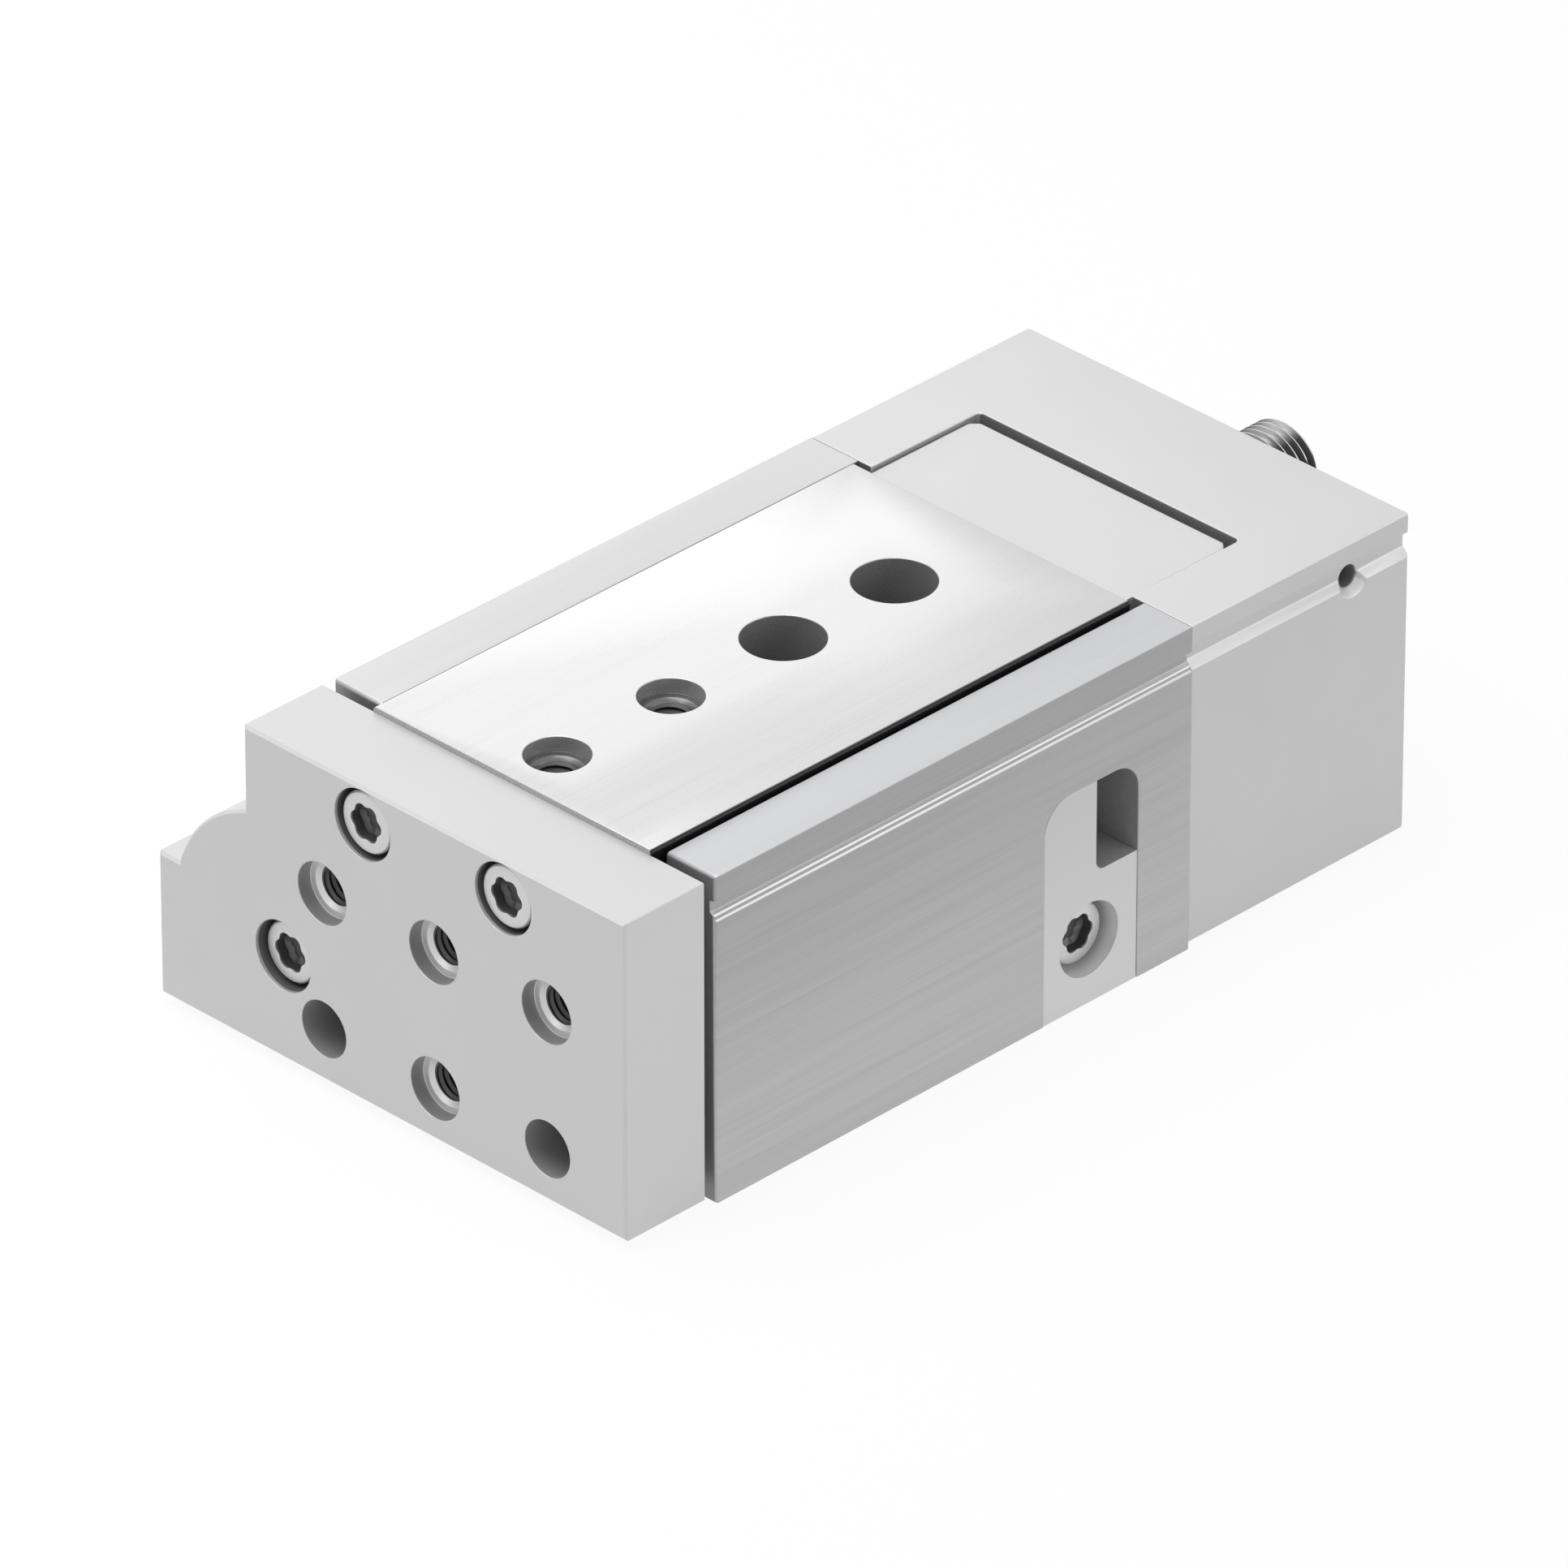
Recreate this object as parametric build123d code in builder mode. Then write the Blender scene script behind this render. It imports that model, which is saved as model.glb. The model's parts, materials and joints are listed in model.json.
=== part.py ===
"""Pneumatic slide table: a cylinder-driven table on a ball-cage guide, as separate named pieces.

Millimetres. X runs across the table (+X is the side with the groove), Y runs along the
stroke with the yoke plate at the -Y end, Z is up. The origin lies on the base face, midway
between the two through-bolt holes. The table is drawn at home (retracted).
"""
import os
from math import sqrt

from build123d import *

os.makedirs("parts", exist_ok=True)

# Overall envelope
body_width = 54.2           # upper body and upper yoke
body_height = 38.3
housing_length = 68.3
cap_length = 32.2
yoke_thickness = 11.1
front_gap = 1.5             # yoke to housing at home
yoke_lift = 1.25            # yoke bottom above the base
cap_inset = 0.1
cap_lift = 0.8
edge_break = 0.3

# Fits
fit = 0.02                  # static fit, per side
slip = 0.05                 # running fit, per side
home_gap = 0.05             # left at each end of the stroke

# Cylinder
base_wall = 1.9             # left under the retaining ring's groove
guide_wall = 2.2            # left between that groove and the rail seats
shell = 4.3                 # round the groove, up to the shoulder
foot_margin = 2.3           # foot outside the shoulder's arc
ring_bite = 0.5             # groove deeper than the gland's seat
gland_shoulder = 1.0        # gland's seat larger than the bore
rod_in = 5.3                # rod axis inside the upper body's left face
ledge_rise = 4.65           # ledge above the rod axis
gland_length = 11.5
spigot_length = 8.2
rod_d = 8.0
ring_t = 1.0
ring_setback = 0.5
buffer_t = 2.0
buffer_seat = 1.0
piston_length = 13.0
port_d = 4.2
port_depth = 6.0
duct_d = 2.5
duct_from_bore, duct_rise = 2.6, 1.8
port_a_in, port_a_drop = 10.2, 3.4      # in from the rear face, under the rod axis
port_b_back = 9.0                       # behind the joint

# Guide, measured down from the body top
table_width = 39.6
table_proud = 0.6           # table top above the body top
table_plate = 3.4
table_overhang = 5.6        # plate wider than the body under it, per side
table_body_drop = 13.9      # table top to its underside
rear_stand_in = 1.55        # table end in front of the housing's rear face
table_side_gap = 0.5
rail_gap = 2.0              # table body to rail
floor_gap = 0.5
body_side_gap = 0.8
rail_seat_down = 11.2
rail_height = 8.0
rail_end_gap = 1.3
rail_screw_in = 8.0
rail_screw_d, rail_screw_head_d, rail_screw_head_h, rail_screw_sunk = 2.0, 3.5, 1.6, 2.0
ball_d = 3.5
ball_down = 7.2
ball_count = 7
ball_pitch = 4.6
cage_t = 0.9
cage_height = 6.0
cage_end = 0.7              # past the outer balls' pitch
cage_from_front = 2.05      # left in front of the cage when the table is out
stop_pin_d = 1.2

# Hole patterns
pitch = 16.0
table_first_hole = 6.4      # from the table's front end
centring_d, centring_depth = 7.0, 1.8
m5_hole_d, base_tap_d, base_tap_depth = 4.6, 4.2, 12.0
access_d = 9.0
bolt_d, bolt_seat_z = 5.5, 8.5
base_recess_depth = 2.1
screw_d, screw_head_d, screw_seat_d = 4.0, 7.0, 8.0
screw_head_h, screw_socket_d, screw_socket_depth = 2.8, 3.9, 1.8
screw_play = 0.25
small_screw_d, small_head_d, small_head_h = 3.0, 5.5, 3.0
thread_reach = 9.5
yoke_screw_x, yoke_screw_down = 10.0, 4.4
yoke_row_z = 7.3            # lower row of the yoke's holes above the base
plain_d = 6.4
dowel_d, dowel_length, dowel_x, dowel_down = 3.0, 10.0, 5.0, 9.3

# Side groove, cap recess, side pocket
groove_top, groove_h, groove_slope, groove_depth = 3.0, 1.65, 0.3, 0.75
groove_step_h, groove_step_depth = 0.45, 0.2    # low step under the groove
cap_groove_top, cap_groove_h, cap_groove_slope, cap_groove_depth = 2.3, 2.9, 0.9, 0.9
recess_depth = 3.1
block_inset = 1.65          # end block narrower than the table, per side
block_side_gap = 0.35
block_rear_gap = 1.0
block_length, block_down = 16.4, 0.4
block_wall, block_wall_inset = 4.0, 2.2
block_wall_gap = 0.6
pocket_from_joint, pocket_width, pocket_depth = 21.25, 13.6, 8.0
pocket_roof = 1.1           # wall between the pocket and the rail seat
pocket_corner_r = 3.4
notch_width, notch_height, notch_corner_r = 6.0, 10.8, 1.2
insert_set_in = 0.1
corner_relief = 0.3         # insert corner rounder than the pocket's
insert_screw_in, insert_screw_z, insert_seat_d, insert_seat_depth = 6.6, 7.6, 8.5, 4.4
insert_screw_length = 11.0
side_hole_in, side_hole_down, side_hole_d, side_hole_depth = 8.3, 4.5, 2.4, 6.0

# End stop
stop_down = 9.3
stop_d = 10.0
stop_behind = 10.5          # how far the sleeve stands out behind the cap
stop_buffer_d, stop_buffer_t = 7.0, 2.0
stop_stem_d, stop_stem_length = 5.0, 7.0
nut_flats, nut_t = 13.0, 3.0

# Derived positions. The origin lies midway between the two through-bolt holes
half_width = body_width / 2
ring_groove_d = body_height - rail_seat_down - base_wall - guide_wall
gland_d = ring_groove_d - 2 * ring_bite
bore_d = gland_d - 2 * gland_shoulder
shoulder_r = ring_groove_d / 2 + shell
rod_x, rod_z = -half_width + rod_in, base_wall + ring_groove_d / 2
left_x = rod_x - shoulder_r - foot_margin
ledge_z = rod_z + ledge_rise
duct_out = bore_d / 2 + duct_from_bore
duct_x, duct_z = rod_x - duct_out, rod_z + duct_rise
gland_in = ring_setback + ring_t
stop_stack = gland_length + 2 * (buffer_t + home_gap)
stroke = housing_length - gland_in - stop_stack - piston_length - spigot_length
yoke_rear_y = -(table_first_hole + 2.5 * pitch)
yoke_front_y = yoke_rear_y - yoke_thickness
front_y = yoke_rear_y + front_gap
joint_y = front_y + housing_length
rear_y = joint_y + cap_length
table_rear_y = joint_y - rear_stand_in
table_top_z = body_height + table_proud
table_under_z = table_top_z - table_body_drop
plate_under_z = table_top_z - table_plate
table_body_width = table_width - 2 * table_overhang
channel_width = table_width + 2 * table_side_gap
channel_floor_width = table_body_width + 2 * body_side_gap
channel_floor_z = table_under_z - floor_gap
rail_seat_z = body_height - rail_seat_down
rail_width = (channel_width - table_body_width) / 2 - rail_gap
ball_x = (table_body_width + rail_gap) / 2
ball_z = body_height - ball_down
rail_length = housing_length - ring_setback - rail_end_gap
cage_length = ball_count * ball_pitch + 2 * cage_end
cage_mid_y = front_y + cage_from_front + (stroke + cage_length) / 2
gland_front_y = front_y + gland_in
gland_rear_y = gland_front_y + gland_length
piston_front_y = gland_rear_y + buffer_t + home_gap + stroke
piston_rear_y = piston_front_y + piston_length
spigot_front_y = piston_rear_y + home_gap + buffer_t
rail_front_y = front_y + ring_setback
block_width = table_width - 2 * block_inset
block_top_z = body_height - block_down
recess_width = block_width + 2 * block_side_gap
recess_rear_y = table_rear_y + block_length + block_rear_gap
recess_floor_z = body_height - recess_depth
block_wall_width = table_body_width - 2 * block_wall_inset
wall_rear_y = table_rear_y + block_wall
pocket_front_y = joint_y - pocket_from_joint
pocket_height = rail_seat_z - pocket_roof
notch_z = pocket_height - notch_height
insert_screw_y = pocket_front_y + insert_screw_in
stop_z = body_height - stop_down
dowel_z = body_height - dowel_down
stop_rear_y = rear_y + stop_behind
stop_face_y = wall_rear_y + 2 * home_gap
sleeve_front_y = stop_face_y + stop_buffer_t
yoke_screws_at = [(side * yoke_screw_x, body_height - yoke_screw_down) for side in (-1, 1)]
hole_ys = [yoke_rear_y + table_first_hole + i * pitch for i in range(4)]


def at_y(y):
    """Plane facing the front at this y; its own x and y are world X and Z."""
    return Plane.XZ.offset(-y)


def rear_face(y):
    """Plane facing the rear at this y; its own x is world -X."""
    return Plane(origin=(0, y, 0), x_dir=(-1, 0, 0), z_dir=(0, 1, 0))


def body_outline(y, inset, bottom):
    """End view shared by housing, cap and yoke, as a sketch lying at this y."""
    r = shoulder_r - inset
    ledge = ledge_z - inset
    side = half_width - inset
    ledge_x = rod_x - sqrt(r**2 - (ledge - rod_z) ** 2)
    arc_top = rod_z + sqrt(r**2 - (side + rod_x) ** 2)
    mid = (rod_x - r * sqrt(0.5), rod_z + r * sqrt(0.5))
    with BuildSketch(at_y(y)) as outline:
        with BuildLine():
            Polyline((ledge_x, ledge), (left_x + inset, ledge), (left_x + inset, bottom),
                     (side, bottom), (side, body_height), (-side, body_height), (-side, arc_top))
            ThreePointArc((-side, arc_top), mid, (ledge_x, ledge))
        make_face()
    return outline.sketch


# Housing: machined body with the guide channel, the cylinder bore and the side pocket
rail_screw_ys = [rail_front_y + rail_screw_in, rail_front_y + rail_length / 2,
                 rail_front_y + rail_length - rail_screw_in]
rail_screw_reach = 3.0
rail_mid_x = channel_width / 2 - rail_width / 2 + 0.1
upper_screw_in, right_screw_down, left_screw_down = 3.7, 9.3, 7.3
low_right_in, low_right_z, low_left_in, low_left_z = 5.1, 6.5, 7.4, 5.0
cap_screws_at = [(half_width - upper_screw_in, body_height - right_screw_down),
                 (upper_screw_in - half_width, body_height - left_screw_down),
                 (half_width - low_right_in, low_right_z), (left_x + low_left_in, low_left_z)]
cap_screw_reach = 6.5
base_row_in, base_row_from_pocket, base_left_in, base_right_in = 5.9, 5.15, 3.9, 7.1
base_rows_y = (front_y + base_row_in, pocket_front_y - base_row_from_pocket)
base_columns_x = (left_x + base_left_in, half_width - base_right_in)
base_thread_at = [(x, y) for y in base_rows_y for x in base_columns_x]
base_thread_depth = 8.0
seal_groove, o_ring_cord, duct_seat, duct_seat_d = 1.45, 1.4, 0.8, 4.4
spigot_groove_in, gland_groove_in = 3.7, 5.5
spigot_groove_y = joint_y - spigot_groove_in
gland_groove_y = gland_rear_y - gland_groove_in

with BuildPart() as housing:
    extrude(body_outline(joint_y, 0, 0), amount=housing_length)
    chamfer(housing.faces().sort_by(Axis.Y)[0].outer_wire().edges(), edge_break)
    with BuildSketch(at_y(joint_y)):
        with Locations((0, (rail_seat_z + body_height) / 2)):
            Rectangle(channel_width, body_height - rail_seat_z)
        with Locations((0, (channel_floor_z + body_height) / 2)):
            Rectangle(channel_floor_width, body_height - channel_floor_z)
    extrude(amount=housing_length, mode=Mode.SUBTRACT)
    with BuildSketch(at_y(joint_y)):
        with Locations((rod_x, rod_z)):
            Circle(bore_d / 2)
    extrude(amount=housing_length, mode=Mode.SUBTRACT)
    with BuildSketch(at_y(gland_rear_y)):
        with Locations((rod_x, rod_z)):
            Circle(gland_d / 2)
    extrude(amount=gland_rear_y - front_y, mode=Mode.SUBTRACT)
    with BuildSketch(at_y(gland_front_y)):
        with Locations((rod_x, rod_z)):
            Circle(ring_groove_d / 2)
    extrude(amount=ring_t, mode=Mode.SUBTRACT)
    with BuildSketch(at_y(joint_y)):
        with BuildLine():
            top = body_height - groove_top
            Polyline((half_width + 1, top), (half_width - groove_depth, top),
                     (half_width - groove_depth, top - groove_h + groove_slope),
                     (half_width - groove_step_depth, top - groove_h),
                     (half_width - groove_step_depth, top - groove_h - groove_step_h),
                     (half_width, top - groove_h - groove_step_h - groove_step_depth),
                     (half_width + 1, top - groove_h - groove_step_h - groove_step_depth),
                     close=True)
        make_face()
    extrude(amount=housing_length, mode=Mode.SUBTRACT)
    with BuildSketch(Plane.YZ.offset(half_width)) as pocket:
        with Locations((pocket_front_y + pocket_width / 2, pocket_height / 2)):
            Rectangle(pocket_width, pocket_height)
        fillet(pocket.vertices().group_by(Axis.Y)[-1], pocket_corner_r)
    extrude(amount=-pocket_depth, mode=Mode.SUBTRACT)
    with Locations(Plane.YZ.offset(half_width - pocket_depth)):
        with Locations((insert_screw_y, insert_screw_z)):
            Hole(screw_d / 2 + fit, depth=insert_screw_length - (pocket_depth - insert_set_in
                                                                 - insert_seat_depth) + 0.6)
    with Locations(Plane.XY.offset(channel_floor_z)):
        with Locations((0, hole_ys[2]), (0, hole_ys[3])):
            CounterBoreHole(bolt_d / 2, access_d / 2, channel_floor_z - bolt_seat_z)
    with Locations(Plane.XY.offset(rail_seat_z)):
        with Locations(*[(s * rail_mid_x, y) for s in (-1, 1) for y in rail_screw_ys]):
            Hole(rail_screw_d / 2 + fit, depth=rail_screw_reach + 0.2)
    with Locations(Plane.XY.rotated((180, 0, 0))):
        with Locations(*[(x, -y) for x, y in base_thread_at]):
            Hole(screw_d / 2, depth=base_thread_depth)
        with Locations((0, -hole_ys[2]), (0, -hole_ys[3])):
            Hole(access_d / 2, depth=base_recess_depth)
        with Locations((0, -hole_ys[0]), (0, -hole_ys[1])):
            CounterBoreHole(base_tap_d / 2, access_d / 2, base_recess_depth,
                            depth=base_tap_depth)
    with Locations(rear_face(joint_y)):
        with Locations(*[(-x, z) for x, z in cap_screws_at]):
            Hole(small_screw_d / 2 + fit, depth=cap_screw_reach + 0.4)
        with Locations((-duct_x, duct_z)):
            CounterBoreHole(duct_d / 2, duct_seat_d / 2, duct_seat, depth=joint_y - gland_rear_y)
    with BuildSketch(Plane.YZ.offset(duct_x)):
        with Locations((gland_rear_y + buffer_t / 2 + 0.2, duct_z)):
            Circle(0.8)
    extrude(amount=duct_out - bore_d / 2 + 2, mode=Mode.SUBTRACT)
housing.part.label = "housing"

# Rear cap: closes the bore with its spigot and carries the end stop and the air ports
port_a_y, port_a_z = rear_y - port_a_in, rod_z - port_a_drop
port_b_y = joint_y + port_b_back
side_hole_y = rear_y - side_hole_in
cap_seat_depth = 10.0
spigot_duct_d = 5.0
rear_buffer_rim, rear_buffer_band = 2.0, 3.0
rear_buffer_in = spigot_duct_d / 2 + rear_buffer_rim
rear_buffer_out = rear_buffer_in + rear_buffer_band

with BuildPart() as rear_cap:
    extrude(body_outline(rear_y, cap_inset, cap_lift), amount=cap_length)
    chamfer(rear_cap.faces().sort_by(Axis.Y)[-1].outer_wire().edges(), edge_break)
    with BuildSketch(at_y(joint_y)):
        with Locations((rod_x, rod_z)):
            Circle(bore_d / 2 - fit)
    extrude(amount=joint_y - spigot_front_y)
    with BuildSketch(Plane.XY.offset(recess_floor_z)) as recess:
        with Locations((0, (joint_y + recess_rear_y) / 2)):
            Rectangle(recess_width, recess_rear_y - joint_y)
        fillet(recess.vertices().group_by(Axis.Y)[-1], 0.6)
    extrude(amount=body_height - recess_floor_z, mode=Mode.SUBTRACT)
    with BuildSketch(Plane.XY.offset(channel_floor_z)):
        with Locations((0, (joint_y + sleeve_front_y) / 2)):
            Rectangle(block_wall_width + 2 * block_wall_gap, sleeve_front_y - joint_y)
    extrude(amount=recess_floor_z - channel_floor_z, mode=Mode.SUBTRACT)
    with Locations(rear_face(rear_y)):
        with Locations((0, stop_z)):
            Hole(stop_d / 2 + fit, depth=cap_length)
        with Locations(*[(-x, z) for x, z in cap_screws_at]):
            CounterBoreHole(small_screw_d / 2 + 0.2, small_head_d / 2 + 0.25, cap_seat_depth,
                            depth=cap_length + 1)
        with Locations((-rod_x, rod_z)):
            Hole(spigot_duct_d / 2, depth=rear_y - spigot_front_y + 1)
        with Locations((-duct_x, duct_z)):
            CounterBoreHole(duct_d / 2, port_d / 2, port_depth, depth=cap_length + 1)
    with Locations(Plane(origin=(left_x + cap_inset, 0, 0), x_dir=(0, -1, 0), z_dir=(-1, 0, 0))):
        with Locations((-port_a_y, port_a_z)):
            CounterBoreHole(1.5, port_d / 2, port_depth, depth=rod_x - left_x)
        with Locations((-port_b_y, duct_z)):
            Hole(port_d / 2, depth=duct_x - left_x - cap_inset)
    with BuildSketch(at_y(rear_y)):
        with BuildLine():
            face = half_width - cap_inset
            top = body_height - cap_groove_top
            Polyline((face + 1, top), (face - cap_groove_depth, top),
                     (face - cap_groove_depth, top - cap_groove_h + cap_groove_slope),
                     (face, top - cap_groove_h), (face + 1, top - cap_groove_h), close=True)
        make_face()
    extrude(amount=cap_length, mode=Mode.SUBTRACT)
    with Locations(Plane.YZ.offset(half_width - cap_inset)):
        with Locations((side_hole_y, body_height - side_hole_down)):
            CounterSinkHole(side_hole_d / 2, side_hole_d / 2 + cap_groove_depth,
                            depth=side_hole_depth)
    with BuildSketch(at_y(spigot_groove_y + o_ring_cord / 2 + 0.4)):
        with Locations((rod_x, rod_z)):
            Circle(bore_d / 2 + 1)
            Circle(bore_d / 2 - seal_groove, mode=Mode.SUBTRACT)
    extrude(amount=o_ring_cord + 0.8, mode=Mode.SUBTRACT)
    with BuildSketch(at_y(spigot_front_y + buffer_seat)):
        with Locations((rod_x, rod_z)):
            Circle(rear_buffer_out)
            Circle(rear_buffer_in, mode=Mode.SUBTRACT)
    extrude(amount=buffer_seat, mode=Mode.SUBTRACT)
rear_cap.part.label = "rear_cap"

with BuildPart() as cap_screws:
    seat_y = rear_y - cap_seat_depth
    with BuildSketch(at_y(seat_y + small_head_h)):
        with Locations(*cap_screws_at):
            Circle(small_head_d / 2)
            RegularPolygon(1.44, 6, mode=Mode.SUBTRACT)
    extrude(amount=small_head_h)
    with BuildSketch(at_y(seat_y + 1.4)):
        with Locations(*cap_screws_at):
            Circle(2.0)
    extrude(amount=1.4)
    with BuildSketch(at_y(seat_y)):
        with Locations(*cap_screws_at):
            Circle(small_screw_d / 2)
    extrude(amount=seat_y - joint_y + cap_screw_reach)
cap_screws.part.label = "cap_screws"


def ring(y_rear, length, r_out, r_in):
    """Plain ring on the rod axis, running forward from y_rear."""
    with BuildPart() as band:
        with BuildSketch(at_y(y_rear)):
            with Locations((rod_x, rod_z)):
                Circle(r_out)
                Circle(r_in, mode=Mode.SUBTRACT)
        extrude(amount=length)
    return band.part


def o_ring(y_mid, x, z, r_mid, r_cord):
    """Cord ring round an axis along Y."""
    with BuildPart() as cord:
        with BuildSketch(Plane(origin=(x, y_mid, z), x_dir=(1, 0, 0), z_dir=(0, 0, 1))):
            with Locations((r_mid, 0)):
                Circle(r_cord)
        revolve(axis=Axis((x, y_mid, z), (0, 1, 0)))
    return cord.part


# Cylinder front end
seal_length, seal_r = 3.2, rod_d / 2 + 2.5
bush_length, bush_t = 6.5, 1.0
front_buffer_rim, front_buffer_band = 2.0, 2.0
front_buffer_in = rod_d / 2 + front_buffer_rim
front_buffer_out = front_buffer_in + front_buffer_band
ring_band, lug_drop, lug_hole_d, lug_spread = 2.3, 2.9, 1.4, 2.0
with BuildPart() as rod_gland:
    add(ring(gland_rear_y, gland_length, gland_d / 2 - fit, rod_d / 2 + 0.2))
    with BuildSketch(at_y(gland_front_y + seal_length)):
        with Locations((rod_x, rod_z)):
            Circle(seal_r)
    extrude(amount=seal_length, mode=Mode.SUBTRACT)
    with BuildSketch(at_y(gland_rear_y)):
        with Locations((rod_x, rod_z)):
            Circle(rod_d / 2 + bush_t)
    extrude(amount=bush_length, mode=Mode.SUBTRACT)
    with BuildSketch(at_y(gland_rear_y)):
        with Locations((rod_x, rod_z)):
            Circle(front_buffer_out)
            Circle(front_buffer_in, mode=Mode.SUBTRACT)
    extrude(amount=buffer_seat, mode=Mode.SUBTRACT)
    with BuildSketch(at_y(gland_groove_y + o_ring_cord / 2 + 0.4)):
        with Locations((rod_x, rod_z)):
            Circle(gland_d / 2 + 1)
            Circle(gland_d / 2 - seal_groove, mode=Mode.SUBTRACT)
    extrude(amount=o_ring_cord + 0.8, mode=Mode.SUBTRACT)
rod_gland.part.label = "rod_gland"

with BuildPart() as rod_bush:
    add(ring(gland_rear_y, bush_length, rod_d / 2 + bush_t - fit, rod_d / 2 + fit))
rod_bush.part.label = "rod_bush"

with BuildPart() as rod_seal:
    add(ring(gland_front_y + seal_length, seal_length, seal_r - fit, rod_d / 2 + fit))
    chamfer(rod_seal.faces().sort_by(Axis.Y)[0].inner_wires()[0].edges(), 0.6)
rod_seal.part.label = "rod_seal"

with BuildPart() as gland_o_ring:
    add(o_ring(gland_groove_y, rod_x, rod_z, (gland_d - o_ring_cord) / 2 - slip, o_ring_cord / 2))
gland_o_ring.part.label = "gland_o_ring"

with BuildPart() as gland_retaining_ring:
    with BuildSketch(at_y(gland_front_y)):
        with Locations((rod_x, rod_z)):
            Circle(ring_groove_d / 2 - fit)
            Circle(ring_groove_d / 2 - ring_band, mode=Mode.SUBTRACT)
        with Locations((rod_x, rod_z - ring_groove_d / 2 + lug_drop)):
            Rectangle(3 * lug_spread, 2 * lug_spread)
            Rectangle(0.8 * lug_spread, 4 * lug_spread, mode=Mode.SUBTRACT)
        lug_z = rod_z - ring_groove_d / 2 + lug_drop + 0.2
        with Locations((rod_x - lug_spread, lug_z), (rod_x + lug_spread, lug_z)):
            Circle(lug_hole_d / 2, mode=Mode.SUBTRACT)
    extrude(amount=ring_t)
gland_retaining_ring.part.label = "gland_retaining_ring"

with BuildPart() as front_buffer_ring:
    add(ring(gland_rear_y + buffer_t, buffer_t + buffer_seat,
             front_buffer_out - fit, front_buffer_in + fit))
front_buffer_ring.part.label = "front_buffer_ring"

with BuildPart() as rear_buffer_ring:
    add(ring(spigot_front_y + buffer_seat, buffer_t + buffer_seat,
             rear_buffer_out - fit, rear_buffer_in + fit))
rear_buffer_ring.part.label = "rear_buffer_ring"

with BuildPart() as spigot_o_ring:
    add(o_ring(spigot_groove_y, rod_x, rod_z, (bore_d - o_ring_cord) / 2 - slip, o_ring_cord / 2))
spigot_o_ring.part.label = "spigot_o_ring"

with BuildPart() as duct_seal:
    add(o_ring(joint_y - duct_seat / 2, duct_x, duct_z, (duct_seat_d - duct_seat) / 2 - slip,
               duct_seat / 2))
duct_seal.part.label = "duct_seal"

plug_in, plug_length, plug_socket_d, plug_socket_depth = 0.8, 4.0, 2.4, 2.2
with BuildPart() as port_plugs:
    with BuildSketch(at_y(rear_y - plug_in)):
        with Locations((duct_x, duct_z)):
            Circle(port_d / 2 - fit)
        with Locations((rod_x, rod_z)):
            Circle(spigot_duct_d / 2 - fit)
    extrude(amount=plug_length)
    with BuildSketch(at_y(rear_y - plug_in)):
        with Locations((duct_x, duct_z), (rod_x, rod_z)):
            RegularPolygon(plug_socket_d / 2, 6)
    extrude(amount=plug_socket_depth, mode=Mode.SUBTRACT)
port_plugs.part.label = "port_plugs"

# End stop: threaded sleeve with an elastic buffer, held by a thin nut
with BuildPart() as stop_sleeve:
    with BuildSketch(at_y(stop_rear_y)):
        with Locations((0, stop_z)):
            Circle(stop_d / 2)
    extrude(amount=stop_rear_y - sleeve_front_y)
    chamfer(stop_sleeve.faces().sort_by(Axis.Y)[-1].outer_wire().edges(), 0.7)
    with BuildSketch(at_y(stop_rear_y)):
        with Locations((0, stop_z)):
            RegularPolygon(2.5, 6, major_radius=False)
    extrude(amount=5, mode=Mode.SUBTRACT)
    with BuildSketch(at_y(sleeve_front_y + stop_stem_length + 1)):
        with Locations((0, stop_z)):
            Circle(stop_stem_d / 2)
    extrude(amount=stop_stem_length + 1, mode=Mode.SUBTRACT)
stop_sleeve.part.label = "stop_sleeve"

with BuildPart() as stop_buffer:
    with BuildSketch(at_y(sleeve_front_y)):
        with Locations((0, stop_z)):
            Circle(stop_buffer_d / 2)
    extrude(amount=sleeve_front_y - stop_face_y)
    fillet(stop_buffer.faces().sort_by(Axis.Y)[0].outer_wire().edges(), 0.6)
    with BuildSketch(at_y(sleeve_front_y + stop_stem_length)):
        with Locations((0, stop_z)):
            Circle(stop_stem_d / 2 - fit)
    extrude(amount=stop_stem_length)
stop_buffer.part.label = "stop_buffer"

with BuildPart() as stop_lock_nut:
    with BuildSketch(at_y(rear_y + nut_t)):
        with Locations((0, stop_z)):
            RegularPolygon(nut_flats / 2, 6, major_radius=False, rotation=0)
            Circle(stop_d / 2 + fit, mode=Mode.SUBTRACT)
    extrude(amount=nut_t)
stop_lock_nut.part.label = "stop_lock_nut"

# Side insert: fills the pocket in the housing's right side, with a notch left open
insert_face_x = half_width - insert_set_in
with BuildPart() as side_insert:
    with BuildSketch(Plane.YZ.offset(insert_face_x)) as plate:
        with Locations((pocket_front_y + pocket_width / 2, pocket_height / 2)):
            Rectangle(pocket_width - 2 * fit, pocket_height - 2 * fit)
        top_corners = plate.vertices().group_by(Axis.Y)[-1]
        fillet(top_corners.sort_by(Axis.X)[0], pocket_corner_r + corner_relief)
        with Locations((pocket_front_y + pocket_width, pocket_height)):
            Rectangle(2 * notch_width, 2 * (pocket_height - notch_z), mode=Mode.SUBTRACT)
        notch_corner = (pocket_front_y + pocket_width - notch_width, notch_z)
        fillet(plate.vertices().sort_by_distance(notch_corner)[0], notch_corner_r)
    extrude(amount=-(pocket_depth - insert_set_in))
    with Locations(Plane.YZ.offset(insert_face_x)):
        with Locations((insert_screw_y, insert_screw_z)):
            CounterBoreHole(screw_d / 2 + screw_play, insert_seat_d / 2, insert_seat_depth)
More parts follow.
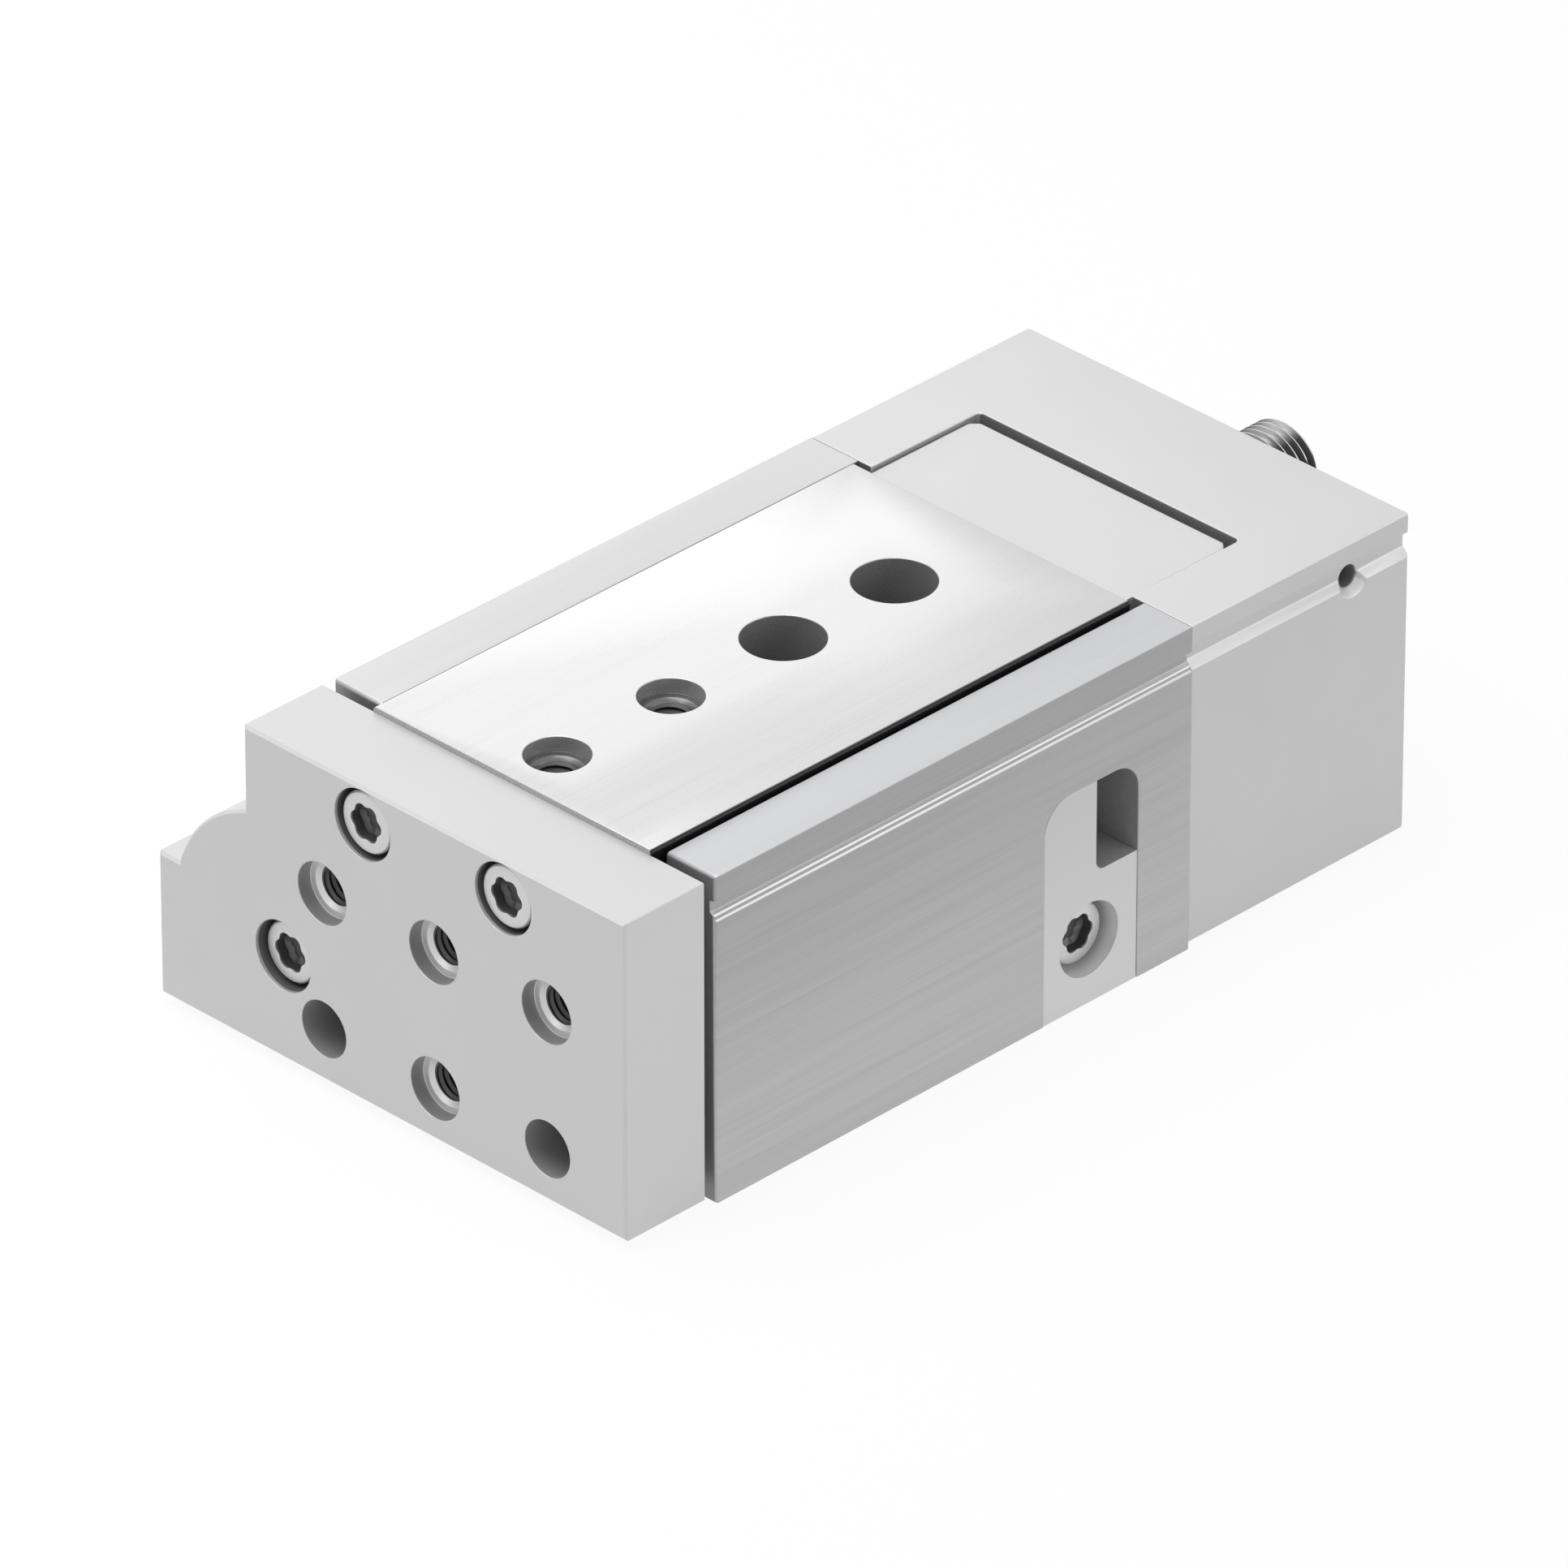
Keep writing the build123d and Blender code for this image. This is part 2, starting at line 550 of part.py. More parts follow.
side_insert.part.label = "side_insert"


def screw(plane, points, shank_length, head_height=screw_head_h):
    """Socket screws seated on this plane with heads standing out of it."""
    with BuildPart() as screws:
        with BuildSketch(plane):
            with Locations(*points):
                Circle(screw_head_d / 2)
        extrude(amount=head_height)
        with BuildSketch(plane):
            with Locations(*points):
                Circle(screw_d / 2)
        extrude(amount=-shank_length)
        with BuildSketch(plane.offset(head_height)):
            with Locations(*points):
                RegularPolygon(screw_socket_d / 2, 6)
        extrude(amount=-screw_socket_depth, mode=Mode.SUBTRACT)
    return screws.part


with BuildPart() as side_insert_screw:
    add(screw(Plane.YZ.offset(insert_face_x - insert_seat_depth), [(insert_screw_y, insert_screw_z)],
              insert_screw_length))
side_insert_screw.part.label = "side_insert_screw"


# Guide rails, mirrored left and right
def guide_rail(side):
    x_mid = side * (channel_width / 2 - rail_width / 2)
    with BuildPart() as rail:
        with BuildSketch(at_y(rail_front_y + rail_length)):
            with Locations((x_mid, rail_seat_z + rail_height / 2)):
                Rectangle(rail_width, rail_height)
            with Locations((side * ball_x, ball_z)):
                Circle(ball_d / 2 + slip, mode=Mode.SUBTRACT)
        extrude(amount=rail_length)
        with Locations(Plane.XY.offset(rail_seat_z + rail_height)):
            with Locations(*[(side * rail_mid_x, y) for y in rail_screw_ys]):
                CounterBoreHole(rail_screw_d / 2 + 0.1, rail_screw_head_d / 2 + 0.1, rail_screw_sunk)
        with BuildSketch(Plane.YZ.offset(side * stop_pin_in)):
            with Locations(*[(y, stop_pin_z) for y in stop_pin_ys]):
                Circle(stop_pin_d / 2 + fit)
        extrude(amount=side * stop_pin_length, mode=Mode.SUBTRACT)
    return rail


stop_pin_in = ball_x - cage_t / 2
stop_pin_length = 3.0
stop_pin_z = ball_z + cage_height / 2 - 0.4
stop_pin_ys = [rail_front_y + 0.75, cage_mid_y + cage_length / 2 + 1.0]
left_guide_rail = guide_rail(-1)
left_guide_rail.part.label = "left_guide_rail"
right_guide_rail = guide_rail(1)
right_guide_rail.part.label = "right_guide_rail"

with BuildPart() as rail_screws:
    spots = [(s * rail_mid_x, y) for s in (-1, 1) for y in rail_screw_ys]
    seat_z = rail_seat_z + rail_height - rail_screw_sunk
    with BuildSketch(Plane.XY.offset(seat_z)):
        with Locations(*spots):
            Circle(rail_screw_head_d / 2)
    extrude(amount=rail_screw_head_h)
    with BuildSketch(Plane.XY.offset(seat_z)):
        with Locations(*spots):
            Circle(rail_screw_d / 2)
    extrude(amount=-(seat_z - rail_seat_z + rail_screw_reach))
rail_screws.part.label = "rail_screws"

with BuildPart() as cage_stop_pins:
    for side in (-1, 1):
        with BuildSketch(Plane.YZ.offset(side * stop_pin_in)):
            with Locations(*[(y, stop_pin_z) for y in stop_pin_ys]):
                Circle(stop_pin_d / 2)
        extrude(amount=side * stop_pin_length)
cage_stop_pins.part.label = "cage_stop_pins"

# Ball cages and balls
ball_ys = [cage_mid_y + (i - (ball_count - 1) / 2) * ball_pitch for i in range(ball_count)]


def ball_cage(side):
    with BuildPart() as cage:
        with Locations((side * ball_x, cage_mid_y, ball_z)):
            Box(cage_t, cage_length, cage_height)
        with BuildSketch(Plane.YZ.offset(side * ball_x - 2)):
            with Locations(*[(y, ball_z) for y in ball_ys]):
                Circle(ball_d / 2 + slip)
        extrude(amount=4, mode=Mode.SUBTRACT)
    return cage


def balls(side):
    with BuildPart() as row:
        with Locations(*[(side * ball_x, y, ball_z) for y in ball_ys]):
            Sphere(ball_d / 2)
    return row


left_ball_cage = ball_cage(-1)
left_ball_cage.part.label = "left_ball_cage"
right_ball_cage = ball_cage(1)
right_ball_cage.part.label = "right_ball_cage"
left_balls = balls(-1)
left_balls.part.label = "left_balls"
right_balls = balls(1)
right_balls.part.label = "right_balls"

# Slide table: ground T-section with a ball groove down each side
end_screw_in, end_screw_down = 5.7, 7.3
end_screw_x, end_screw_z = table_body_width / 2 - end_screw_in, body_height - end_screw_down
end_screw_reach = 6.0
end_seat_depth, end_head_d, end_head_h = 2.2, 5.4, 2.0
table_length = table_rear_y - yoke_rear_y
with BuildPart() as slide_table:
    with BuildSketch(at_y(table_rear_y)):
        with Locations((0, (plate_under_z + table_top_z) / 2)):
            Rectangle(table_width, table_plate)
        with Locations((0, (table_under_z + plate_under_z) / 2)):
            Rectangle(table_body_width, plate_under_z - table_under_z)
        with Locations((-ball_x, ball_z), (ball_x, ball_z)):
            Circle(ball_d / 2 + slip, mode=Mode.SUBTRACT)
    extrude(amount=table_length)
    top_edges = slide_table.faces().sort_by(Axis.Z)[-1].outer_wire().edges()
    chamfer(top_edges.filter_by(Axis.Y), edge_break)
    with Locations(Plane.XY.offset(table_top_z)):
        with Locations((0, hole_ys[0]), (0, hole_ys[1])):
            CounterBoreHole(m5_hole_d / 2, centring_d / 2, centring_depth)
        with Locations((0, hole_ys[2]), (0, hole_ys[3])):
            Hole(access_d / 2)
    with Locations(at_y(yoke_rear_y)):
        with Locations(*yoke_screws_at):
            Hole(screw_d / 2 + fit, depth=thread_reach + 1)
        with Locations((-dowel_x, dowel_z), (dowel_x, dowel_z)):
            Hole(dowel_d / 2 + fit, depth=dowel_length / 2 + 0.2)
    with Locations(rear_face(table_rear_y)):
        with Locations((-end_screw_x, end_screw_z), (end_screw_x, end_screw_z)):
            Hole(small_screw_d / 2 + fit, depth=end_screw_reach + 0.5)
slide_table.part.label = "slide_table"

with BuildPart() as table_end_block:
    with BuildSketch(Plane.XY.offset(plate_under_z)) as lid:
        with Locations((0, table_rear_y + block_length / 2)):
            Rectangle(block_width, block_length)
        chamfer(lid.vertices().group_by(Axis.Y)[-1], 0.9)
    extrude(amount=block_top_z - plate_under_z)
    with BuildSketch(at_y(wall_rear_y)):
        with Locations((0, (table_under_z + 0.3 + plate_under_z) / 2)):
            Rectangle(block_wall_width, plate_under_z - table_under_z - 0.3)
    extrude(amount=block_wall)
    with Locations(rear_face(wall_rear_y)):
        with Locations((-end_screw_x, end_screw_z), (end_screw_x, end_screw_z)):
            CounterBoreHole(small_screw_d / 2 + 0.1, end_head_d / 2 + 0.2, end_seat_depth,
                            depth=block_wall)
table_end_block.part.label = "table_end_block"

with BuildPart() as end_block_screws:
    seat_y = wall_rear_y - end_seat_depth
    spots = [(-end_screw_x, end_screw_z), (end_screw_x, end_screw_z)]
    with BuildSketch(at_y(seat_y + end_head_h)):
        with Locations(*spots):
            Circle(end_head_d / 2)
            RegularPolygon(1.2, 6, mode=Mode.SUBTRACT)
    extrude(amount=1.2)
    with BuildSketch(at_y(seat_y + end_head_h - 1.2)):
        with Locations(*spots):
            Circle(end_head_d / 2)
    extrude(amount=end_head_h - 1.2)
    with BuildSketch(at_y(seat_y)):
        with Locations(*spots):
            Circle(small_screw_d / 2)
    extrude(amount=seat_y - table_rear_y + end_screw_reach)
end_block_screws.part.label = "end_block_screws"

# Yoke plate: joins the table to the piston rod and carries the front hole pattern
row_z = yoke_row_z + pitch
yoke_seat_depth = screw_head_h + 0.5
rod_seat_depth = screw_head_h + 1.0
with BuildPart() as yoke_plate:
    extrude(body_outline(yoke_rear_y, 0, yoke_lift), amount=yoke_thickness)
    chamfer(yoke_plate.faces().sort_by(Axis.Y)[0].outer_wire().edges(), edge_break)
    with Locations(at_y(yoke_front_y)):
        with Locations(*yoke_screws_at):
            CounterBoreHole(screw_d / 2 + screw_play, screw_seat_d / 2, yoke_seat_depth)
        with Locations((rod_x, rod_z)):
            CounterBoreHole(screw_d / 2 + screw_play, screw_seat_d / 2, rod_seat_depth)
        with Locations((-pitch, row_z), (0, row_z), (pitch, row_z), (0, yoke_row_z)):
            CounterBoreHole(m5_hole_d / 2, centring_d / 2, centring_depth)
        with Locations((-pitch, yoke_row_z), (pitch, yoke_row_z)):
            Hole(plain_d / 2, depth=yoke_thickness)
    with Locations(rear_face(yoke_rear_y)):
        with Locations((-dowel_x, dowel_z), (dowel_x, dowel_z)):
            Hole(dowel_d / 2 + fit, depth=dowel_length / 2 + 0.2)
yoke_plate.part.label = "yoke_plate"

with BuildPart() as yoke_screws:
    add(screw(at_y(yoke_front_y + yoke_seat_depth), yoke_screws_at,
              yoke_thickness - yoke_seat_depth + thread_reach))
yoke_screws.part.label = "yoke_screws"

with BuildPart() as yoke_dowels:
    with BuildSketch(at_y(yoke_rear_y + dowel_length / 2)):
        with Locations((-dowel_x, dowel_z), (dowel_x, dowel_z)):
            Circle(dowel_d / 2)
    extrude(amount=dowel_length)
yoke_dowels.part.label = "yoke_dowels"

with BuildPart() as rod_screw:
    add(screw(at_y(yoke_front_y + rod_seat_depth), [(rod_x, rod_z)],
              yoke_thickness - rod_seat_depth + thread_reach))
rod_screw.part.label = "rod_screw"

# Piston and rod
tail_d = 5.0
nut_h = 3.0
piston_nut_flats = 8.0
nut_pocket, nut_pocket_d = 4.0, 9.8
with BuildPart() as piston_rod:
    with BuildSketch(at_y(piston_front_y)):
        with Locations((rod_x, rod_z)):
            Circle(rod_d / 2)
    extrude(amount=piston_front_y - yoke_rear_y)
    with BuildSketch(at_y(piston_rear_y - 0.6)):
        with Locations((rod_x, rod_z)):
            Circle(tail_d / 2)
    extrude(amount=piston_length - 0.6)
    with Locations(at_y(yoke_rear_y)):
        with Locations((rod_x, rod_z)):
            Hole(screw_d / 2 + fit, depth=thread_reach + 1)
piston_rod.part.label = "piston_rod"

seal_w, magnet_w, guide_w = 2.4, 3.0, 1.6
seal_groove_in, guide_groove_in, magnet_in, piston_play = 2.6, 1.0, 0.5, 0.2
groove_r, guide_r = bore_d / 2 - seal_groove_in, bore_d / 2 - guide_groove_in
magnet_r = bore_d / 2 - magnet_in
seal_1_y = piston_front_y + 0.9
magnet_y = seal_1_y + seal_w + 0.8
guide_y = magnet_y + magnet_w + 0.7
seal_2_y = piston_rear_y - 0.9 - seal_w
with BuildPart() as piston:
    add(ring(piston_rear_y, piston_length, bore_d / 2 - piston_play, tail_d / 2 + fit))
    for y, w, r in ((seal_1_y, seal_w, groove_r), (magnet_y, magnet_w, groove_r),
                    (guide_y, guide_w, guide_r), (seal_2_y, seal_w, groove_r)):
        with BuildSketch(at_y(y + w)):
            with Locations((rod_x, rod_z)):
                Circle(bore_d / 2)
                Circle(r, mode=Mode.SUBTRACT)
        extrude(amount=w, mode=Mode.SUBTRACT)
    with BuildSketch(at_y(piston_rear_y)):
        with Locations((rod_x, rod_z)):
            Circle(nut_pocket_d / 2)
    extrude(amount=nut_pocket, mode=Mode.SUBTRACT)
piston.part.label = "piston"

with BuildPart() as piston_seals:
    add(ring(seal_1_y + seal_w - fit, seal_w - 2 * fit, bore_d / 2 - fit, groove_r + fit))
    add(ring(seal_2_y + seal_w - fit, seal_w - 2 * fit, bore_d / 2 - fit, groove_r + fit))
piston_seals.part.label = "piston_seals"

with BuildPart() as piston_magnet:
    add(ring(magnet_y + magnet_w - fit, magnet_w - 2 * fit, magnet_r, groove_r + fit))
piston_magnet.part.label = "piston_magnet"

with BuildPart() as piston_guide_ring:
    add(ring(guide_y + guide_w - fit, guide_w - 2 * fit, bore_d / 2 - slip, guide_r + fit))
piston_guide_ring.part.label = "piston_guide_ring"

with BuildPart() as piston_nut:
    with BuildSketch(at_y(piston_rear_y - nut_pocket + nut_h)):
        with Locations((rod_x, rod_z)):
            RegularPolygon(piston_nut_flats / 2, 6, major_radius=False)
            Circle(tail_d / 2 + fit, mode=Mode.SUBTRACT)
    extrude(amount=nut_h)
piston_nut.part.label = "piston_nut"

pieces = [
    housing, rear_cap, cap_screws, left_guide_rail, right_guide_rail, rail_screws, cage_stop_pins,
    rod_gland, rod_bush, rod_seal, gland_o_ring, gland_retaining_ring, front_buffer_ring,
    rear_buffer_ring, spigot_o_ring, duct_seal, port_plugs, stop_sleeve, stop_buffer, stop_lock_nut,
    side_insert, side_insert_screw, left_ball_cage, left_balls, right_ball_cage, right_balls,
    slide_table, table_end_block, end_block_screws, yoke_plate, yoke_screws, yoke_dowels, rod_screw,
    piston_rod, piston, piston_seals, piston_magnet, piston_guide_ring, piston_nut,
]
for piece in pieces:
    export_step(piece.part, f"parts/{piece.part.label}.step")
    box = piece.part.bounding_box()
    print(f"{piece.part.label:22s} {len(piece.part.solids()):2d} solid(s)  {piece.part.volume:10.1f} mm3  "
          f"x {box.min.X:7.2f}..{box.max.X:7.2f}  y {box.min.Y:7.2f}..{box.max.Y:7.2f}  "
          f"z {box.min.Z:6.2f}..{box.max.Z:6.2f}")
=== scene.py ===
# %% [markdown]
# # Dressing a pneumatic slide table
#
# The solids of the slide are finished when this script starts: it only gives them their looks.
# Most of the object is metal in three finishes, ground, brushed and blasted, so most of the lesson
# is about how these differ when they all come from the same shader. The rest is small geometry
# that a solid model leaves out, such as broken edges, screw sockets and threads.

import json
from math import atan2, cos, pi, radians, sin

import bmesh
import bpy
from mathutils import Matrix, Vector

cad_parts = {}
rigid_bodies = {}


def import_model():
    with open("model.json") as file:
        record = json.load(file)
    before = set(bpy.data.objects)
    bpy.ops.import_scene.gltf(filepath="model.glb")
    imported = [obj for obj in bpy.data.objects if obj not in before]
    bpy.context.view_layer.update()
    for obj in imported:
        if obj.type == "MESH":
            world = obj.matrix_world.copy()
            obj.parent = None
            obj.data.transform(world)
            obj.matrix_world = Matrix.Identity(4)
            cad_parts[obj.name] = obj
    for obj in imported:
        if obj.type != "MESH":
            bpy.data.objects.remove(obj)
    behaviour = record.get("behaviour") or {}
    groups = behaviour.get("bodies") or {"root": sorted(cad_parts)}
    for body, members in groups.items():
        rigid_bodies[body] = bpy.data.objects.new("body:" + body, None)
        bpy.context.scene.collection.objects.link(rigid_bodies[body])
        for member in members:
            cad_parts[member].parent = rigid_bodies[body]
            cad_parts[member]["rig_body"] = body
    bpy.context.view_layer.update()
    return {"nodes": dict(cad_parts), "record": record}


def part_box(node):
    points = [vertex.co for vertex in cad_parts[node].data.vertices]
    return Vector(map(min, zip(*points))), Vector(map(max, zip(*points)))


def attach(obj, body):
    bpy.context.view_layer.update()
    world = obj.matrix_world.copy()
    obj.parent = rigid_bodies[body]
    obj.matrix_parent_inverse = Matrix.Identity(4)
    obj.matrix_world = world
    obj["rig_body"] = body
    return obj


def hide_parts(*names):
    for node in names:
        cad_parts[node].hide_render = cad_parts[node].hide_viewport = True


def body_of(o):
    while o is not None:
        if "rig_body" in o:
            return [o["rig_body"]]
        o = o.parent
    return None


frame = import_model()
nodes = frame["nodes"]
MM = 0.001

# %% [markdown]
# ## The camera
#
# The picture was taken from far away with a long lens, because edges that are parallel on the
# object stay nearly parallel in it. Such a camera is best written as a target on the object, a
# direction and a distance. The focal length then only sets how large the object stands in the
# frame.

# %% Camera
target = Vector((-0.4, -7.5, 21.3)) * MM
distance = 1.8737
azimuth, elevation = radians(44.77), radians(31.19)
look = Vector((-cos(elevation) * sin(azimuth), cos(elevation) * cos(azimuth), -sin(elevation)))

lens = bpy.data.cameras.new("long_lens")
lens.sensor_width = 36
lens.lens = 424.55
camera = bpy.data.objects.new("camera", lens)
camera.location = target - look * distance
camera.rotation_euler = look.to_track_quat("-Z", "Y").to_euler()
bpy.context.scene.collection.objects.link(camera)
bpy.context.scene.camera = camera
bpy.context.scene.view_settings.view_transform = "Standard"
print("camera at", [round(value, 3) for value in camera.location])

# %% [markdown]
# ## A small language for shaders
#
# A material is a graph, and sums in it are easier to read as sums. `Signal` wraps one output
# socket and turns Python's operators into Math nodes, so that `1 - mask` works as it reads.

# %% Signals
class Signal:
    """One output of a node, which takes part in sums."""

    def __init__(self, finish, socket):
        self.finish, self.socket = finish, socket

    def _math(self, operation, first, second):
        return self.finish.node("Math", {0: first, 1: second}, operation=operation)

    def __add__(self, other):
        return self._math("ADD", self, other)

    def __radd__(self, other):
        return self._math("ADD", other, self)

    def __sub__(self, other):
        return self._math("SUBTRACT", self, other)

    def __rsub__(self, other):
        return self._math("SUBTRACT", other, self)

    def __mul__(self, other):
        return self._math("MULTIPLY", self, other)

    def __rmul__(self, other):
        return self._math("MULTIPLY", other, self)

    def above(self, level, softness):
        """0 below the level and 1 above it, with a ramp of this softness to either side."""
        return self.finish.node("MapRange", {"Value": self, "From Min": level - softness,
                                             "From Max": level + softness})


print("signals take part in sums, differences and products")

# %% [markdown]
# Greys are written as the screen values of a picture, from 0 to 255, because that is how they are
# judged. The shader wants linear light, so each value goes through the screen's curve first.

# %% Greys
def shade(level, tint=(1, 1, 1)):
    """A screen grey from 0 to 255, as the linear colour that the shader wants."""
    part = level / 255
    linear = part / 12.92 if part <= 0.04045 else ((part + 0.055) / 1.055) ** 2.4
    return tuple(linear * channel for channel in tint)


print("a screen grey of 128 is", round(shade(128)[0], 3), "in linear light")

# %% [markdown]
# `Finish` is a material with one Principled shader. Its `node` method makes any node: settings
# first, then the values or links of its sockets. The other methods are the few patterns that all
# finishes share: a place, a mask by direction, noise, and a grey that wavers between two tones.

# %% Finishes
class Finish:
    """A material with one Principled shader, built node by node."""

    def __init__(self, name, **constants):
        self.material = bpy.data.materials.new(name)
        self.material.use_nodes = True
        self.tree = self.material.node_tree
        self.shader = self.tree.nodes["Principled BSDF"]
        for socket, value in constants.items():
            self.shader.inputs[socket.replace("_", " ")].default_value = value
        self.place = self.node("TexCoord", {}, out="Object")

    def node(self, kind, sockets, out=0, **settings):
        """Any node: its settings are set first, then its sockets get values or links."""
        made = self.tree.nodes.new("ShaderNode" + kind)
        for name, value in settings.items():
            setattr(made, name, value)
        for key, value in sockets.items():
            if isinstance(value, Signal):
                self.tree.links.new(value.socket, made.inputs[key])
            else:
                made.inputs[key].default_value = value
        return Signal(self, made.outputs[out])

    def drive(self, socket, signal):
        """Let a signal vary one socket of the shader."""
        self.tree.links.new(signal.socket, self.shader.inputs[socket])

    def at(self, axis):
        """How far along X, Y or Z of the object a point lies, in metres."""
        return self.node("SeparateXYZ", {"Vector": self.place}, out=axis)

    def facing(self, axis, level=0.5):
        """1 on faces that point along this axis of the object, 0 elsewhere."""
        normal = self.node("TexCoord", {}, out="Normal")
        return self.node("SeparateXYZ", {"Vector": normal}, out=axis).above(level, 0.05)

    def facing_front(self):
        """1 on faces that point to the front, which is -Y, 0 elsewhere."""
        return 1 - self.facing("Y", -0.8)

    def noise(self, feature_mm, stretch=(1, 1, 1), detail=2.0):
        """Noise from 0 to 1 whose features are this many millimetres wide."""
        scale = [1 / (feature_mm * MM * axis) for axis in stretch]
        vector = self.node("Mapping", {"Vector": self.place, "Scale": scale})
        return self.node("TexNoise", {"Vector": vector, "Scale": 1.0, "Detail": detail})

    def blend(self, factor, dark, light):
        """A colour between two, led by a signal."""
        return self.node("Mix", {0: factor, 6: (*dark, 1), 7: (*light, 1)}, out=2, data_type="RGBA")

    def grey(self, marks, level, spread, tint=(1, 1, 1)):
        """A grey of this screen level, which the marks move down and up by the spread."""
        return self.blend(marks, shade(level - spread, tint), shade(level + spread, tint))

    def mixed(self, factor, first, second):
        """A colour signal between two others."""
        return self.node("Mix", {0: factor, 6: first, 7: second}, out=2, data_type="RGBA")

    def relief(self, height, depth_mm):
        """Feed the Normal with bumps this deep."""
        bump = self.node("Bump", {"Height": height, "Distance": depth_mm * MM, "Strength": 1.0})
        self.drive("Normal", bump)


print("a finish starts from Blender's own Principled shader")

# %% [markdown]
# ## Blasted aluminium
#
# The yoke, the rear cap, the end block and the insert are blasted with fine beads before they are
# anodised. The surface is even and matt, with a grain too fine to see and faint clouds in its
# tone. A bump of a few microns breaks up the highlight, and a slow noise moves the colour by a
# hair. The metallic value isn't full, because the oxide over the metal scatters light by itself.
#
# The tops, the slopes and the walls of the holes get painted light and painted shade, tones of
# their own that the lamps alone don't give them: faces by their normal, and holes by their place. A
# point lies in a hole when it is near the hole's axis and between its two ends.

# %% Masks by place
def painted_floor_bounce(finish, colour, share):
    """The colour with painted bounce light from the floor, which gets darker by up to this share
    from 2 to 38 mm above the base.
    """
    darker = finish.node("Mix", {0: share, 6: colour, 7: (0, 0, 0, 1)}, out=2, data_type="RGBA")
    return finish.mixed(finish.at("Z").above(20 * MM, 18 * MM), colour, darker)


def inside(finish, axis, lines, radius, low, high):
    """1 inside holes of this radius along X, Y or Z, between two places on that axis, in mm."""
    places = {letter: finish.at(letter) for letter in "XYZ"}
    along = places.pop(axis)
    found = 0
    for line in lines:
        square = sum((place - at * MM) * (place - at * MM)
                     for place, at in zip(places.values(), line))
        found = 1 - square.above((radius * MM) ** 2, (0.2 * MM) ** 2) + found
    return found * along.above(low * MM, 0.03 * MM) * (1 - along.above(high * MM, 0.03 * MM))


print("the mask of a hole fades out over 0.06 mm at each end")

# %% Blasted aluminium
def blasted(name, level, painted_front_level=None, painted_slope_level=None, painted_top_level=None, floor_bounce_share=0, holes=()):
    """A matt grey, with painted light and shade on fronts, slopes, tops and holes. Each hole is its
    painted level and what inside() needs.
    """
    spread = 3
    finish = Finish(name, Metallic=0.45)
    grain = finish.noise(0.16)
    tone = finish.noise(9, detail=3) * 0.7 + grain * 0.3
    colour = painted_floor_bounce(finish, finish.grey(tone, level, spread), floor_bounce_share)
    # Fronts, slopes and tops get tones by the way they face: painted light and painted shade.
    if painted_front_level:
        front = finish.grey(tone, painted_front_level, spread)
        colour = finish.mixed(finish.facing_front(), colour, front)
    if painted_slope_level:
        slope = finish.grey(tone, painted_slope_level, spread)
        colour = finish.mixed(finish.facing("Z", 0.35) * finish.facing("X", 0.2), colour, slope)
    if painted_top_level:
        top = finish.grey(tone, painted_top_level, spread)
        colour = finish.mixed(finish.facing("Z", 0.9), colour, top)
    # Each hole gets painted shade or a painted highlight by its place.
    for painted_hole_level, *hole in holes:
        wall = finish.grey(tone, painted_hole_level, spread)
        colour = finish.mixed(inside(finish, *hole), colour, wall)
    finish.drive("Base Color", colour)
    finish.drive("Roughness", grain * 0.1 + 0.43)
    finish.relief(grain, 0.004)
    return finish.material


print("a blasted grey of 213 runs from 210 to 216")

# %% [markdown]
# The radius of a mask is a little larger than its hole's, and the mask stops just short of the
# faces at both ends, so that it holds the hole's wall and floor and nothing else.

# %% The cap and the insert
cap_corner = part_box("rear_cap")[1] / MM
side_hole = [(cap_corner.y - 8.3, cap_corner.z - 4.5)]
side_hole_mouth, side_hole_end = cap_corner.x - 0.95, cap_corner.x - 7.5
# The cap's front faces and its side hole are painted darker as painted shade, the slope of its
# groove gets a painted highlight, its top is painted a little lighter as painted light, and it gets
# a little painted floor bounce.
cap_finish = blasted("cap_blasted_aluminium", 213, painted_front_level=140, painted_slope_level=230,
                     painted_top_level=216, floor_bounce_share=0.07,
                     holes=[(162, "X", side_hole, 1.35, side_hole_end, side_hole_mouth)])

insert_low, insert_high = (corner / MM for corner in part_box("side_insert"))
insert_axis = sum(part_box("side_insert_screw"), Vector()) / 2 / MM
# The counterbore of the insert's screw is painted lighter, as painted light in that recess, the
# insert's top is painted darker as painted shade, and the insert gets painted floor bounce.
insert_seat = (252, "X", [(insert_axis.y, insert_axis.z)], 4.5, insert_low.x, insert_high.x - 0.1)
insert_finish = blasted("insert_blasted_aluminium", 226, painted_top_level=200, floor_bounce_share=0.25,
                        holes=[insert_seat])
print("two blasted finishes")

# %% [markdown]
# The yoke has three kinds of holes: threads behind a centring seat, counterbores for the screws,
# and two plain ones. A seat's wall gets painted shade, darker than the yoke's face, and its floor
# and the mouth of its thread a painted highlight. In a counterbore a thin rim of the wall round the
# screw's head is painted a mid grey, above the rest, which is painted dark as painted shade.

